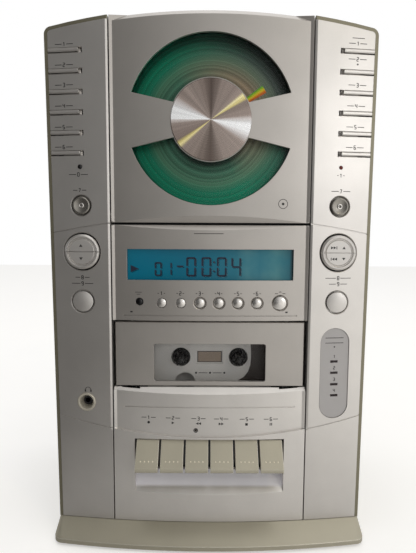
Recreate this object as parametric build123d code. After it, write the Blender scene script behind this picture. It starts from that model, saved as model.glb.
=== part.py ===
"""Upright cassette and CD player, as separate pieces.

The player stands on a flared foot. Its front is bowed in plan, and a middle column, set back a little
between two proud side panels, holds the CD door, the tuner panel, the cassette door and the tape keys.

Millimetres. X runs to the right, Y runs to the back, Z runs up from the floor. The origin is under the
middle of the player. A depth is counted backwards from the front apex of the side panels' bow.
"""
from build123d import *
import math
import os

# Overall sizes
FACE_Y = -65.0            # the bow's front apex
BACK_Y = 80.0             # back of the rear shell
BOW_R = 800.0             # the front's bow, seen from above
ARCH_R = 606.0            # the arch along the top edge
BODY_BOTTOM = 13.0        # where the body sits on the base
SIDE_WIDTH = 39.0         # width of a side panel's face at the bottom
BODY_TAPER = 2.8          # how much further out each side is at the shoulders
SHOULDER_DROP = 12.4      # the shoulders lie this far below the arch's top
CORNER_R = 5.0            # round of the two shoulders
BACK_ROUND = 4.0
SHELL_WALL = 2.3
SKIN = 2.0                # wall of the front mouldings
GAP = 0.3                 # gap between neighbouring pieces
FIT = 0.06                # radial clearance of a shaft in its bearing
OVERRUN = 60.0            # how far a cutting body reaches past what it cuts
BACK_CUT = 20.0           # how deep the cuts through the shell's back start in front of it

# Middle column, stacked from the base up
LOWER_HEIGHT = 97.1
TAPE_SEAM = 0.4
TAPE_DOOR_HEIGHT = 45.9
COLUMN_GAP = 1.6          # seam above and below the tuner panel
TUNER_HEIGHT = 65.6
DOOR_BELOW_WELL = 3.7     # the CD door reaches this far below the disc's well
ARCH_ABOVE_WELL = 6.7     # and the arch this far above it
RECESS = 1.6              # how far the column lies behind the side panels
COLUMN_SIDE = 3.4         # the column's pieces reach this far beside the CD chassis
SEAM = 0.8                # open seam between column and side panel
RAMP_IN = 2.1             # the slope up to the side panels starts this far inside the column's edge
RAMP_OUT = 2.2            # and ends this far outside it
DOOR_STEEP = 1.75         # height per depth of the slope under the CD door
TUNER_STEEP = 1.3         # and of the slope on top of the tuner panel
LOWER_STEEP = 0.9         # and of the slope on top of the lower panel
FRAME_DEPTH = 18.0        # front of the inner frame
FRAME_T = 2.0
GROOVE_W = 0.8
GROOVE_DEPTH = 0.6
MID_GROOVE_R = 526.0
MID_GROOVE_RISE = 3.9     # apex of the side panels' upper groove above the CD door's lower edge
LOW_GROOVE_R = 406.0

# Base and feet
FOOT_H = 2.0
FOOT_R = 8.0
FOOT_INSET = 23.5         # from the body's side to a foot's centre
FOOT_FRONT_Y = -48.0
FOOT_BACK_Y = 64.0
LIP_REACH = 15.0          # how far the base's lip stands in front of the bow
LIP_T = 3.0
LIP_OUT = 0.8             # the lip's ends reach this far outside the body's sides
LIP_CORNER_FORWARD = 6.0  # and this far in front of the bow's apex
LIP_CORNER_R = 7.0
SEAT_CORNER_R = 3.0
BASE_WALL = 4.0
BASE_FLOOR = 2.5

# CD door and well
DISC_R = 60.0
DISC_BORE_R = 7.5
DISC_T = 1.2
DISC_DEPTH = 14.0         # front face of the disc
DISC_CLEAR = 1.5
WELL_FLOOR = 18.0
WELL_FLOOR_T = 2.5
WELL_WALL = 2.4
CHASSIS_FRONT = 11.5
DOOR_DEPTH = 9.0
DOOR_CHAMFER = 3.6
DOOR_HINGE_RISE = 5.3
DOOR_HINGE_DEPTH = 7.0
DOOR_PIN_R = 1.5
DOOR_PIN_REACH = 2.6
DOOR_BOSS = 2.4           # half size of the block that carries a pin
WINDOW_COVER = 4.0        # the door covers this much of the disc's edge
HUB_R = 27.4
SPOKE_HALF = 5.5          # half height of a spoke at the centre line
SPOKE_SLOPE = 0.235
MEDALLION_R = 26.8
MEDALLION_T = 1.4
MEDALLION_SEAT = 1.0
PANE_T = 1.5
PANE_LAP = 2.5
CLAMP_R = 15.0
CLAMP_T = 3.0
CLAMP_STEM_R = 6.0
CLAMP_RING_T = 2.2
TURNTABLE_R = 15.0
TURNTABLE_T = 2.0
SPINDLE_NOSE_R = 7.3
DRIVE_SHAFT_R = 1.5
MOTOR_R = 11.0
MOTOR_LENGTH = 12.0
LASER_X = 25.0            # the lens at its innermost place
LASER_TRAVEL = 28.0
LASER_LENS_R = 3.0
LASER_TURRET_R = 5.0
SLED_HALF = 9.0
SLED_HEIGHT_HALF = 15.0
SLED_FRONT = 21.0
SLED_T = 7.0
ROD_R = 1.5
ROD_OFFSET = 11.0

# Tuner panel; a rise is counted from its lower edge
TUNER_LINE_RISE = 3.5
LINE_HALF = 60.0
LCD_SIDE = 10.3           # from the display window to the column's edge
LCD_RISE = 28.0
LCD_HEIGHT = 21.2
LCD_GLASS_LAP = 1.5
LCD_GLASS_T = 2.0
LCD_CARRIER_LAP = 4.0
PRESET_X = (-33.3, -20.1, -6.9, 6.1, 19.1, 32.3)
PRESET_RISE = 12.3
PRESET_R = 3.1
PRESET_DOME = 0.8
PRESET_MOUTH = 1.0
MODE_X = 48.1
MODE_R = 4.4
SENSOR_X = -48.5
SENSOR_RISE = 13.1
SENSOR_R = 2.7

# Cassette section
TAPE_DOOR_HALF = 66.2
TAPE_DOOR_DEPTH = 6.2
TAPE_DOOR_T = 3.0
TAPE_LEDGE = 6.0          # depth where the lower panel's slope starts, just in front of the door
FILL_BACK = 0.2           # the slope's block reaches this far behind that
TAPE_DOOR_SLANT = 1.0     # rise of the door's lower face towards the rear, to clear the lower panel
TAPE_WINDOW_HALF = 39.3
TAPE_WINDOW_RISE = 3.4
TAPE_WINDOW_HEIGHT = 26.9
TAPE_WINDOW_R = 1.5
TAPE_PANE_T = 1.4
TAPE_PANE_LAP = 1.5
HUB_X = 21.25             # cassette hubs stand 42.5 apart
HUB_RISE = 16.5           # hubs above the door's lower edge
CASSETTE_HALF = 50.2      # a standard cassette is 100.4 by 63.8 by 12
CASSETTE_BELOW_HUB = 34.5
CASSETTE_T = 12.0
CASSETTE_PLAY = 0.6
HOLDER_WALL = 1.5
HOLDER_LIP = 5.0
HOLDER_ABOVE_HUB = 14.0
HOLDER_STEP_DEPTH = 13.0  # below the step the holder stays behind the lower panel when it opens
HOLDER_STEP_RISE = 2.1
SHELF_GAP_HALF = 38.0     # the shelf is cut away here for the head carriage
TAPE_HINGE_DEPTH = 12.0
TAPE_HINGE_DROP = 35.0    # hinge below the hubs
TAPE_PIN_R = 1.5
TAPE_PIN_REACH = 3.6
DECK_FRONT = 22.6
DECK_T = 2.4
DECK_BACK = 36.0
DECK_BACK_T = 2.5
DECK_BELOW_HUB = 43.0
DECK_ABOVE_HUB = 29.5
DECK_SIDE = 1.8           # wall beside the hinge pins
SPINDLE_HOLE_R = 7.0
SPINDLE_TIP = 12.5        # how near the spindle's tip comes to the front
SPINDLE_HUB_R = 3.0
SPINDLE_FIN_R = 4.6
SPINDLE_FIN_T = 1.2
SPINDLE_FLANGE_R = 6.2
SPINDLE_FLANGE_T = 2.5
SPINDLE_SHAFT_R = 2.0
SPINDLE_BOSS = 3.0
LABEL_HALF = 9.9          # sunk field between the spindles
LABEL_LOW = 5.0
LABEL_HIGH = 5.2
LABEL_DEPTH = 1.2
NOTCH_X = -18.2           # half-round notch in the deck plate
NOTCH_R = 7.7
NOTCH_HALF = 7.3
NOTCH_DROP = 19.5
NOTCH_LOW = 7.5
CARRIAGE_FRONT = 14.5
CARRIAGE_HALF = 26.0
CARRIAGE_T = 3.5
HEAD_HALF = 7.0
HEAD_TIP_HALF = 5.5
HEAD_LOW = 11.0
HEAD_TIP = 2.0
ROLLER_X = 20.0
ROLLER_R = 4.0
ROLLER_RISE = 9.0
ROLLER_ARM_HALF = 2.0

# Lower panel and tape keys; a drop is counted down from the key hinge
KEY_HINGE_DROP = 29.6     # key hinge below the panel's top
LOWER_LINE_DROP = 13.6    # groove line below the panel's top
KEY_PITCH = 17.3
KEY_SPACE = 1.6
KEY_COUNT = 6
KEY_HINGE_DEPTH = 11.0
KEY_BARREL_R = 3.4
KEY_SHAFT_R = 1.5
KEY_REACH = 20.6          # the key's lip stands this far in front of the hinge
KEY_DROP = 25.7
KEY_LIP_H = 2.4
KEY_SHOULDER = 8.8
KEY_SHOULDER_DROP = 7.5
KEY_WALL = 3.2
KEY_ROOT = 3.0
KEY_LIP_ROUND = 0.5
KEY_SIDE_GAP = 0.7
KEY_OPENING_DROP = 6.6
SCOOP_TOP_DROP = 32.5
SCOOP_FRONT_DROP = 47.0
SCOOP_DEPTH = 13.0
SCOOP_WALL = 2.0
LOW_GROOVE_DROP = 5.3     # apex of the groove over the keys
BEVEL_DROP = 0.7          # the slope beside the column ends here on the side panels
EAR_WIDTH = 3.0
EAR_HALF = 3.2
MIC_X = -9.6
MIC_DROP = 0.5
MIC_R = 0.9

# Side columns
SIDE_INSET = 1.2          # buttons stand this far inside the middle of a side panel
BAR_TOP_DROP = 25.0       # first bar key below the arch's top
BAR_PITCH = 13.36
BAR_COUNT = 6
BAR_START = -0.1          # a bar key starts this far inside the buttons' middle
BAR_HEIGHT = 2.4
BAR_GAP_ABOVE = 0.35
BAR_GAP_BELOW = 0.8
BAR_PROUD = 0.9
BAR_ROUND = 0.6
BAR_SLOT_END = 2.6        # open slot beside the inner end of a bar
BUTTON_GAP = 0.45
RING_GAP = 0.95           # wider dark ring round the side columns' round buttons
MOUTH = 0.6               # width of the chamfer round a hole
FLANGE_T = 1.0
FLANGE_LAP = 1.3
FLANGE_REACH = 12.0
LAMP_DROP = 9.1           # lamp below the last bar key
LAMP_R = 1.3
ROUND_RISE = 11.3         # round buttons above the CD door's lower edge
ROUND_R = 5.9
ROUND_DIMPLE_R = 1.4
ROCKER_RISE = 47.1        # rockers above the tuner panel's lower edge
ROCKER_MARGIN = 7.5       # from a rocker's edge to the edge of the side panel's face
ROCKER_RIM = 2.0          # width of a rocker's rim
ROCKER_AXLE_R = 1.2
ROCKER_AXLE_EXTRA = 3.2   # an axle end reaches this far past the rocker
PLAIN_R = 7.0
PLAIN_DROP = -0.5         # plain buttons below the presets' line
PLAIN_DOME = 0.8
JACK_INSET = 1.1          # jack nearer to the middle than the buttons
JACK_DROP = 10.8          # jack below the lower panel's top
JACK_CUP_R = 6.1
JACK_CUP_DEPTH = 4.3
JACK_CUP_WALL = 1.2
JACK_RING_R = 3.4
JACK_BORE_R = 1.8
JACK_BORE_LENGTH = 14.0
JACK_FRONT = 8.2
JACK_PLATE = 12.6
JACK_PLATE_R = 9.0
JACK_BARREL_R = 5.0
LENS_INSET = 0.4          # lens nearer to the middle than the buttons
LENS_RISE = 10.3          # lens above the lower panel's top
LENS_MARGIN = 9.2         # from the lens to the edge of the side panel's face
LENS_HALF_H = 32.3

# Rear terminals
TERMINAL_HALF = 58.0
TERMINAL_RISE = 13.0
TERMINAL_HEIGHT = 40.0
TERMINAL_LAP = 3.0        # how far the plate reaches behind the shell round its window
TERMINAL_T = 2.5
INLET_X = 38.0
INLET_HALF_W = 8.0
INLET_HALF_H = 4.2
INLET_WALL = 2.0
INLET_DEPTH = 16.0
PIN_X = 4.3
PIN_R = 1.2
PIN_LENGTH = 9.0
SOCKET_X = (-44.0, -28.0, -12.0, 4.0)
SOCKET_R = 4.0
SOCKET_PROUD = 2.0
SOCKET_LENGTH = 8.0
SOCKET_BORE_R = 1.6
SOCKET_BORE_LENGTH = 5.0
VENT_COUNT = 11
VENT_PITCH = 12.0
VENT_WIDTH = 3.2
VENT_HEIGHT = 46.0

# Board inside
BOARD_MARGIN = 16.5
BOARD_FRONT_Y = -22.0
BOARD_DEPTH = 84.0
BOARD_T = 1.6
BOARD_RISE = 6.0
POST_R = 3.0
POST_MARGIN = 10.0
POST_MARGIN_Y = 6.0
TRANSFORMER_X = -62.0
TRANSFORMER_W = 52.0
TRANSFORMER_SIZE = 44.0
SINK_X = 36.0
SINK_Y = 40.0
SINK_LENGTH = 26.0
SINK_FOOT = 4.0
FIN_COUNT = 5
FIN_PITCH = 8.0
FIN_T = 2.0
FIN_HEIGHT = 34.0
CAPACITOR_X = 62.0
CAPACITOR_Y = (-8.0, 14.0)
CAPACITOR_R = 8.0
CAPACITOR_H = 28.0

# Heights that follow from the stack
LOWER_TOP = BODY_BOTTOM + LOWER_HEIGHT
TAPE_DOOR_LOW = LOWER_TOP + TAPE_SEAM
TAPE_DOOR_HIGH = TAPE_DOOR_LOW + TAPE_DOOR_HEIGHT
TUNER_BOTTOM = TAPE_DOOR_HIGH + COLUMN_GAP
TUNER_TOP = TUNER_BOTTOM + TUNER_HEIGHT
DOOR_BOTTOM = TUNER_TOP + COLUMN_GAP
WELL_R = DISC_R + DISC_CLEAR
CHASSIS_HALF = WELL_R + WELL_WALL
CD_Z = DOOR_BOTTOM + DOOR_BELOW_WELL + CHASSIS_HALF
ARCH_TOP = CD_Z + CHASSIS_HALF + ARCH_ABOVE_WELL
SHOULDER_Z = ARCH_TOP - SHOULDER_DROP
DOOR_HINGE_Z = DOOR_BOTTOM + DOOR_HINGE_RISE
WINDOW_R = DISC_R - WINDOW_COVER
LCD_LOW = TUNER_BOTTOM + LCD_RISE
LCD_HIGH = LCD_LOW + LCD_HEIGHT
PRESET_Z = TUNER_BOTTOM + PRESET_RISE
SENSOR_Z = TUNER_BOTTOM + SENSOR_RISE
TUNER_LINE_Z = TUNER_BOTTOM + TUNER_LINE_RISE
HUB_Z = TAPE_DOOR_LOW + HUB_RISE
TAPE_WINDOW_LOW = TAPE_DOOR_LOW + TAPE_WINDOW_RISE
TAPE_WINDOW_HIGH = TAPE_WINDOW_LOW + TAPE_WINDOW_HEIGHT
TAPE_HINGE_Z = HUB_Z - TAPE_HINGE_DROP
DECK_LOW = HUB_Z - DECK_BELOW_HUB
DECK_HIGH = HUB_Z + DECK_ABOVE_HUB
HOLDER_STEP_Z = TAPE_DOOR_LOW + HOLDER_STEP_RISE
KEY_HINGE_Z = LOWER_TOP - KEY_HINGE_DROP
LOWER_LINE_Z = LOWER_TOP - LOWER_LINE_DROP
LOW_GROOVE_Z = KEY_HINGE_Z - LOW_GROOVE_DROP
MID_GROOVE_Z = DOOR_BOTTOM + MID_GROOVE_RISE
BEVEL_LOW = KEY_HINGE_Z - BEVEL_DROP
KEY_OPENING_TOP = KEY_HINGE_Z - KEY_OPENING_DROP
SCOOP_TOP = KEY_HINGE_Z - SCOOP_TOP_DROP
SCOOP_FRONT_Z = KEY_HINGE_Z - SCOOP_FRONT_DROP
MIC_Z = KEY_HINGE_Z - MIC_DROP
BAR_Z = [ARCH_TOP - BAR_TOP_DROP - index * BAR_PITCH for index in range(BAR_COUNT)]
LAMP_Z = BAR_Z[-1] - LAMP_DROP
ROUND_Z = DOOR_BOTTOM + ROUND_RISE
ROCKER_Z = TUNER_BOTTOM + ROCKER_RISE
PLAIN_Z = PRESET_Z - PLAIN_DROP
JACK_Z = LOWER_TOP - JACK_DROP
LENS_Z = LOWER_TOP + LENS_RISE
TERMINAL_LOW = BODY_BOTTOM + TERMINAL_RISE
TERMINAL_HIGH = TERMINAL_LOW + TERMINAL_HEIGHT
SOCKET_Z = (TERMINAL_LOW + TERMINAL_HIGH) / 2

# Widths that follow from others
COLUMN_HALF = CHASSIS_HALF + COLUMN_SIDE
RAMP_INNER = COLUMN_HALF - RAMP_IN
LCD_HALF = COLUMN_HALF - LCD_SIDE
RAMP_OUTER = COLUMN_HALF + RAMP_OUT
BODY_LOW_HALF = RAMP_OUTER + SIDE_WIDTH
SIDE_X = RAMP_OUTER + SIDE_WIDTH / 2 - SIDE_INSET
BAR_INNER = SIDE_X - BAR_START
ROCKER_R = SIDE_WIDTH / 2 - ROCKER_MARGIN
ROCKER_DISH_R = ROCKER_R - ROCKER_RIM
ROCKER_AXLE_REACH = ROCKER_R + ROCKER_AXLE_EXTRA
JACK_X = JACK_INSET - SIDE_X
LENS_X = SIDE_X - LENS_INSET
LENS_HALF_W = SIDE_WIDTH / 2 - LENS_MARGIN
KEYS_HALF = KEY_PITCH * KEY_COUNT / 2
KEY_WIDTH = KEY_PITCH - KEY_SPACE
KEY_OPENING_HALF = KEYS_HALF + KEY_SIDE_GAP
EAR_INNER = KEYS_HALF + 1.5 * KEY_SIDE_GAP
HOLDER_INNER = CASSETTE_HALF + CASSETTE_PLAY
HOLDER_OUTER = HOLDER_INNER + HOLDER_WALL
PIN_OUTER = HOLDER_OUTER + TAPE_PIN_REACH
DECK_HALF = PIN_OUTER + GAP + DECK_SIDE
HOLDER_FRONT = TAPE_DOOR_DEPTH + TAPE_DOOR_T
HOLDER_BACK = HOLDER_FRONT + CASSETTE_T + CASSETTE_PLAY / 6

os.makedirs("parts", exist_ok=True)


def bow_depth(x, inset=0.0):
    """Depth of the bowed front at x, set back by inset."""
    return BOW_R - math.sqrt((BOW_R - inset) ** 2 - x ** 2)


def bow(inset):
    """Everything behind the bowed front, set back by inset."""
    return Pos(0, FACE_Y + BOW_R, ARCH_TOP / 2) * Cylinder(BOW_R - inset, ARCH_TOP + OVERRUN)


def slab(outline, near, far):
    """An outline drawn in X and Z, made solid between two depths."""
    return Pos(0, FACE_Y + near, 0) * extrude(Plane.XZ * outline, amount=far - near, dir=(0, 1, 0))


def post(plan, low, high):
    """A plan drawn in X and Y, made solid between two heights."""
    return Pos(0, 0, low) * extrude(plan, amount=high - low, dir=(0, 0, 1))


def beam(points, left, right):
    """A side profile of depths and heights, made solid between two X."""
    profile = Polygon(*[(FACE_Y + depth, z) for depth, z in points], align=None)
    return Pos(left, 0, 0) * extrude(Plane.YZ * profile, amount=right - left, dir=(1, 0, 0))


def block(x0, x1, near, far, z0, z1):
    """A plain block between two X, two depths and two heights."""
    centre = Pos((x0 + x1) / 2, FACE_Y + (near + far) / 2, (z0 + z1) / 2)
    return centre * Box(x1 - x0, far - near, z1 - z0)


def drum(x, z, radius, near, far):
    """A round piece on an axis that runs backwards."""
    return Pos(x, FACE_Y + (near + far) / 2, z) * Rot(90, 0, 0) * Cylinder(radius, far - near)


def cone(x, z, near_radius, far_radius, near, far):
    """A tapered round piece on an axis that runs backwards."""
    tilt = Rot(-90, 0, 0)
    return Pos(x, FACE_Y + (near + far) / 2, z) * tilt * Cone(near_radius, far_radius, far - near)


def rod(x0, x1, depth, z, radius):
    """A round piece on an axis that runs to the right."""
    return Pos((x0 + x1) / 2, FACE_Y + depth, z) * Rot(0, 90, 0) * Cylinder(radius, x1 - x0)


def rectangle(x0, x1, z0, z1):
    """A rectangle in X and Z."""
    return Pos((x0 + x1) / 2, (z0 + z1) / 2) * Rectangle(x1 - x0, z1 - z0)


def mouth(x, z, radius, inset, width=MOUTH):
    """A 45 degree cut round the mouth of a hole in the bowed front."""
    tilt = math.degrees(math.asin(x / BOW_R))
    cut = Pos(0, width / 2, 0) * Rot(-90, 0, 0) * Cone(radius + 2 * width, radius - width, 3 * width)
    return Pos(x, FACE_Y + inset + bow_depth(x), z) * Rot(0, 0, tilt) * cut


def mirrored(piece):
    """The same piece on the other side of the player."""
    return mirror(piece, about=Plane.YZ)


def save(piece, node):
    """Write one piece to its file."""
    export_step(piece, f"parts/{node}.step")


def half_width(z):
    """Half width of the tapered rear shell at a height."""
    share = (z - BODY_BOTTOM) / (SHOULDER_Z - BODY_BOTTOM)
    return BODY_LOW_HALF + share * BODY_TAPER


def body_outline(inset, bottom):
    """The player's front outline, shrunk by inset, from a height up."""
    top = ARCH_TOP + 10
    low = half_width(bottom) - inset
    high = half_width(top) - inset
    sides = Polygon((-low, bottom), (low, bottom), (high, top), (-high, top), align=None)
    arch = Pos(0, ARCH_TOP - ARCH_R) * Circle(ARCH_R - inset)
    outline = sides & arch
    return fillet(outline.vertices().sort_by(Axis.Y)[-2:], max(CORNER_R - inset, 0.5))


def channel(low, high):
    """The space in front of the set-back middle column, with its sloping sides."""
    inner = (RAMP_INNER, FACE_Y + RECESS + bow_depth(RAMP_INNER))
    outer = (RAMP_OUTER, FACE_Y + bow_depth(RAMP_OUTER))
    reach = 0.5
    over = (outer[0] + reach * (outer[0] - inner[0]), outer[1] + reach * (outer[1] - inner[1]))
    front = FACE_Y - 8
    floor = ThreePointArc((-inner[0], inner[1]), (0, FACE_Y + RECESS), inner)
    left = [(-over[0], front), (-over[0], over[1]), (-inner[0], inner[1])]
    rim = Polyline(inner, over, (over[0], front), *left)
    return post(make_face(floor + rim), low, high)


def groove_ring(apex, radius, side):
    """A thin arc in X and Z: side is -1 where it falls away from its apex, 1 where it rises."""
    centre = Pos(0, apex + side * radius)
    return centre * (Circle(radius + GROOVE_W / 2) - Circle(radius - GROOVE_W / 2))


def groove(line, inset=0.0):
    """A shallow groove along a thin outline on the bowed front."""
    return slab(line, -2, FRAME_DEPTH) - bow(inset + GROOVE_DEPTH)


def tray(outline, inner_outline, hollow_inset, back):
    """A front moulding: bowed face, side walls, open at the back."""
    outside = slab(outline, -1, back) & bow(0)
    hollow = slab(inner_outline, -1, back + 1) & bow(hollow_inset)
    return outside - hollow


def shoulder_cut(depth, z, steep, reach=30.0):
    """All that stands above a slope falling forwards from an edge."""
    points = [(depth, z), (depth - reach, z - steep * reach), (depth - reach, z + reach), (depth, z + reach)]
    return beam(points, -RAMP_OUTER - 2, RAMP_OUTER + 2)


EDGE_DEPTH = RECESS + bow_depth(RAMP_INNER)
COLUMN_HOLLOW = RECESS + SKIN
PANEL_INSET = SHELL_WALL + GAP / 2
ROCKER_BACK = bow_depth(SIDE_X + ROCKER_R) + SKIN + 0.6
ROCKER_AXLE_DEPTH = ROCKER_BACK + ROCKER_AXLE_R / 2


# Base stand and feet

def lip_plan():
    """Plan of the base's flared lip."""
    half = BODY_LOW_HALF + LIP_OUT
    corner = (half, FACE_Y - LIP_CORNER_FORWARD)
    front = ThreePointArc((-half, corner[1]), (0, FACE_Y - LIP_REACH), corner)
    rest = Polyline(corner, (half, BACK_Y), (-half, BACK_Y), (-half, corner[1]))
    plan = make_face(front + rest)
    return fillet(plan.vertices(), LIP_CORNER_R)


def seat_plan():
    """Plan of the base's top, which the body sits on."""
    corner = (BODY_LOW_HALF, FACE_Y + bow_depth(BODY_LOW_HALF))
    front = ThreePointArc((-corner[0], corner[1]), (0, FACE_Y), corner)
    rest = Polyline(corner, (corner[0], BACK_Y), (-corner[0], BACK_Y), (-corner[0], corner[1]))
    plan = make_face(front + rest)
    return fillet(plan.vertices(), SEAT_CORNER_R)


def base_stand():
    """Flared tray under the body."""
    lip_top = FOOT_H + LIP_T
    foot = post(lip_plan(), FOOT_H, lip_top)
    flare = loft([Pos(0, 0, lip_top) * lip_plan(), Pos(0, 0, BODY_BOTTOM) * seat_plan()], ruled=True)
    half = BODY_LOW_HALF - SHELL_WALL - BASE_WALL
    far = BACK_Y - FACE_Y - SHELL_WALL - BASE_WALL
    pocket = block(-half, half, FRAME_DEPTH, far, FOOT_H + BASE_FLOOR, BODY_BOTTOM + 1)
    return foot + flare - pocket


def rubber_feet():
    """Four feet under the base."""
    foot_x = BODY_LOW_HALF - FOOT_INSET
    places = [(x, y) for x in (-foot_x, foot_x) for y in (FOOT_FRONT_Y, FOOT_BACK_Y)]
    return Compound([Pos(x, y, FOOT_H / 2) * Cylinder(FOOT_R, FOOT_H) for x, y in places])


# Rear shell and what sits in it

def rear_shell():
    """Arched box behind the front, open at the front and at the bottom."""
    depth = BACK_Y - FACE_Y
    outside = slab(body_outline(0, BODY_BOTTOM), 0, depth)
    rim = outside.edges().filter_by_position(Axis.Y, BACK_Y - 0.01, BACK_Y + 0.01)
    outside = fillet(rim.filter_by_position(Axis.Z, BODY_BOTTOM + 0.01, ARCH_TOP + 1), BACK_ROUND)
    hollow = slab(body_outline(SHELL_WALL, BODY_BOTTOM - 5), -1, depth - SHELL_WALL)
    notch_half = COLUMN_HALF + SEAM
    notch = block(-notch_half, notch_half, -1, DOOR_DEPTH + 4 * GAP, DOOR_BOTTOM, ARCH_TOP + 5)
    shell = (outside & bow(GAP)) - hollow - notch - channel(BEVEL_LOW, ARCH_TOP + 5)
    shell -= block(-TERMINAL_HALF, TERMINAL_HALF, depth - BACK_CUT, depth + 1, TERMINAL_LOW, TERMINAL_HIGH)
    start = -(VENT_COUNT - 1) / 2
    for index in range(VENT_COUNT):
        x = (start + index) * VENT_PITCH
        shell -= block(x - VENT_WIDTH / 2, x + VENT_WIDTH / 2, depth - BACK_CUT, depth + 1,
                       CD_Z - VENT_HEIGHT / 2, CD_Z + VENT_HEIGHT / 2)
    return shell


def rear_terminals():
    """Plate with the mains inlet and four phono sockets, set into the back."""
    face = BACK_Y - FACE_Y - SHELL_WALL
    reach = TERMINAL_HALF + TERMINAL_LAP
    low = TERMINAL_LOW - TERMINAL_LAP
    high = TERMINAL_HIGH + TERMINAL_LAP
    plate = block(-reach, reach, face - TERMINAL_T, face, low, high)
    inlet = Pos(INLET_X, SOCKET_Z) * Rectangle(2 * INLET_HALF_W, 2 * INLET_HALF_H)
    shroud = offset(inlet, INLET_WALL, kind=Kind.INTERSECTION)
    shroud = slab(shroud, face - INLET_DEPTH - INLET_WALL, face + 1)
    plate = plate + shroud - slab(inlet, face - INLET_DEPTH, face + 2)
    for x in (INLET_X - PIN_X, INLET_X + PIN_X):
        plate += drum(x, SOCKET_Z, PIN_R, face - INLET_DEPTH - 1, face - INLET_DEPTH + PIN_LENGTH)
    for x in SOCKET_X:
        plate += drum(x, SOCKET_Z, SOCKET_R, face - SOCKET_LENGTH, face + SOCKET_PROUD)
        plate -= drum(x, SOCKET_Z, SOCKET_BORE_R, face - SOCKET_BORE_LENGTH, face + SOCKET_PROUD + 1)
    return plate


def main_board():
    """Circuit board on four posts, with transformer, heat sink and two capacitors."""
    floor = FOOT_H + BASE_FLOOR
    top = floor + BOARD_RISE
    half = BODY_LOW_HALF - BOARD_MARGIN
    middle = BOARD_FRONT_Y + BOARD_DEPTH / 2
    board = Pos(0, middle, top - BOARD_T / 2) * Box(2 * half, BOARD_DEPTH, BOARD_T)
    for x in (-half + POST_MARGIN, half - POST_MARGIN):
        for y in (BOARD_FRONT_Y + POST_MARGIN_Y, BOARD_FRONT_Y + BOARD_DEPTH - POST_MARGIN_Y):
            board += Pos(x, y, (floor + top) / 2) * Cylinder(POST_R, top - floor)
    size = TRANSFORMER_SIZE
    board += Pos(TRANSFORMER_X, middle + POST_R, top + size / 2) * Box(TRANSFORMER_W, size, size)
    for index in range(FIN_COUNT):
        x = SINK_X + (index - (FIN_COUNT - 1) / 2) * FIN_PITCH
        board += Pos(x, SINK_Y, top + FIN_HEIGHT / 2) * Box(FIN_T, SINK_LENGTH, FIN_HEIGHT)
    board += Pos(SINK_X, SINK_Y, top + SINK_FOOT / 2) * Box(FIN_COUNT * FIN_PITCH, SINK_LENGTH, SINK_FOOT)
    for y in CAPACITOR_Y:
        board += Pos(CAPACITOR_X, y, top + CAPACITOR_H / 2) * Cylinder(CAPACITOR_R, CAPACITOR_H)
    return board


# Side panels

def panel_outline():
    """Outline of the right side panel."""
    whole = body_outline(PANEL_INSET, BODY_BOTTOM + GAP)
    return whole & rectangle(COLUMN_HALF + SEAM, 2 * BODY_LOW_HALF, 0, ARCH_TOP + 10)


def side_panel():
    """Right side panel with the openings that both sides share."""
    outline = panel_outline()
    panel = tray(outline, offset(outline, -SKIN, kind=Kind.INTERSECTION), SKIN, FRAME_DEPTH)
    panel -= channel(BEVEL_LOW, ARCH_TOP + 5)
    upper = rectangle(COLUMN_HALF, 2 * BODY_LOW_HALF, LOWER_TOP, ARCH_TOP)
    panel -= groove(groove_ring(MID_GROOVE_Z, MID_GROOVE_R, -1) & upper)
    lower = rectangle(COLUMN_HALF, 2 * BODY_LOW_HALF, BODY_BOTTOM, LOWER_TOP)
    panel -= groove(groove_ring(LOW_GROOVE_Z, LOW_GROOVE_R, 1) & lower)
    for z in BAR_Z:
        low = z - BAR_HEIGHT / 2 - BAR_GAP_BELOW
        high = z + BAR_HEIGHT / 2 + BAR_GAP_ABOVE
        panel -= block(BAR_INNER - BAR_SLOT_END, 2 * BODY_LOW_HALF, -2, FRAME_DEPTH - SKIN / 3, low, high)
    panel -= drum(SIDE_X, LAMP_Z, LAMP_R, -2, FRAME_DEPTH - 1)
    for z, radius in ((ROUND_Z, ROUND_R), (ROCKER_Z, ROCKER_R), (PLAIN_Z, PLAIN_R)):
        panel -= drum(SIDE_X, z, radius + RING_GAP, -2, FRAME_DEPTH - 1)
        panel -= mouth(SIDE_X, z, radius + RING_GAP, 0)
    for side in (-1, 1):
        near_end = ROCKER_R + RING_GAP + 0.1
        x0, x1 = sorted((SIDE_X + side * near_end, SIDE_X + side * (ROCKER_AXLE_REACH - GAP)))
        panel += block(x0, x1, 0, ROCKER_AXLE_DEPTH + 2.4, ROCKER_Z - 2.6, ROCKER_Z + 2.6) & bow(SKIN / 2)
    hole_reach = ROCKER_AXLE_REACH + GAP
    panel -= rod(SIDE_X - hole_reach, SIDE_X + hole_reach, ROCKER_AXLE_DEPTH, ROCKER_Z, ROCKER_AXLE_R + FIT)
    wall = COLUMN_HALF + SEAM + SKIN
    return panel - rod(COLUMN_HALF, wall + 0.1, DOOR_HINGE_DEPTH, DOOR_HINGE_Z, DOOR_PIN_R + FIT)


def left_panel():
    """Left side panel with the headphone cup."""
    panel = mirrored(side_panel())
    face = bow_depth(JACK_X)
    back = face + JACK_CUP_DEPTH
    steep = (JACK_CUP_R - JACK_RING_R - GAP) / JACK_CUP_DEPTH
    panel += drum(JACK_X, JACK_Z, JACK_CUP_R + JACK_CUP_WALL, 0, back) & bow(SKIN / 2)
    near = face - 2 * SKIN
    return panel - cone(JACK_X, JACK_Z, JACK_CUP_R + 2 * SKIN * steep, JACK_RING_R + GAP, near, back)


def lens_outline(grow):
    """Long round-ended outline of the equaliser lens, grown by a margin."""
    half = LENS_HALF_W + grow
    return Pos(LENS_X, LENS_Z) * RectangleRounded(2 * half, 2 * (LENS_HALF_H + grow), 0.99 * half)


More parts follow.
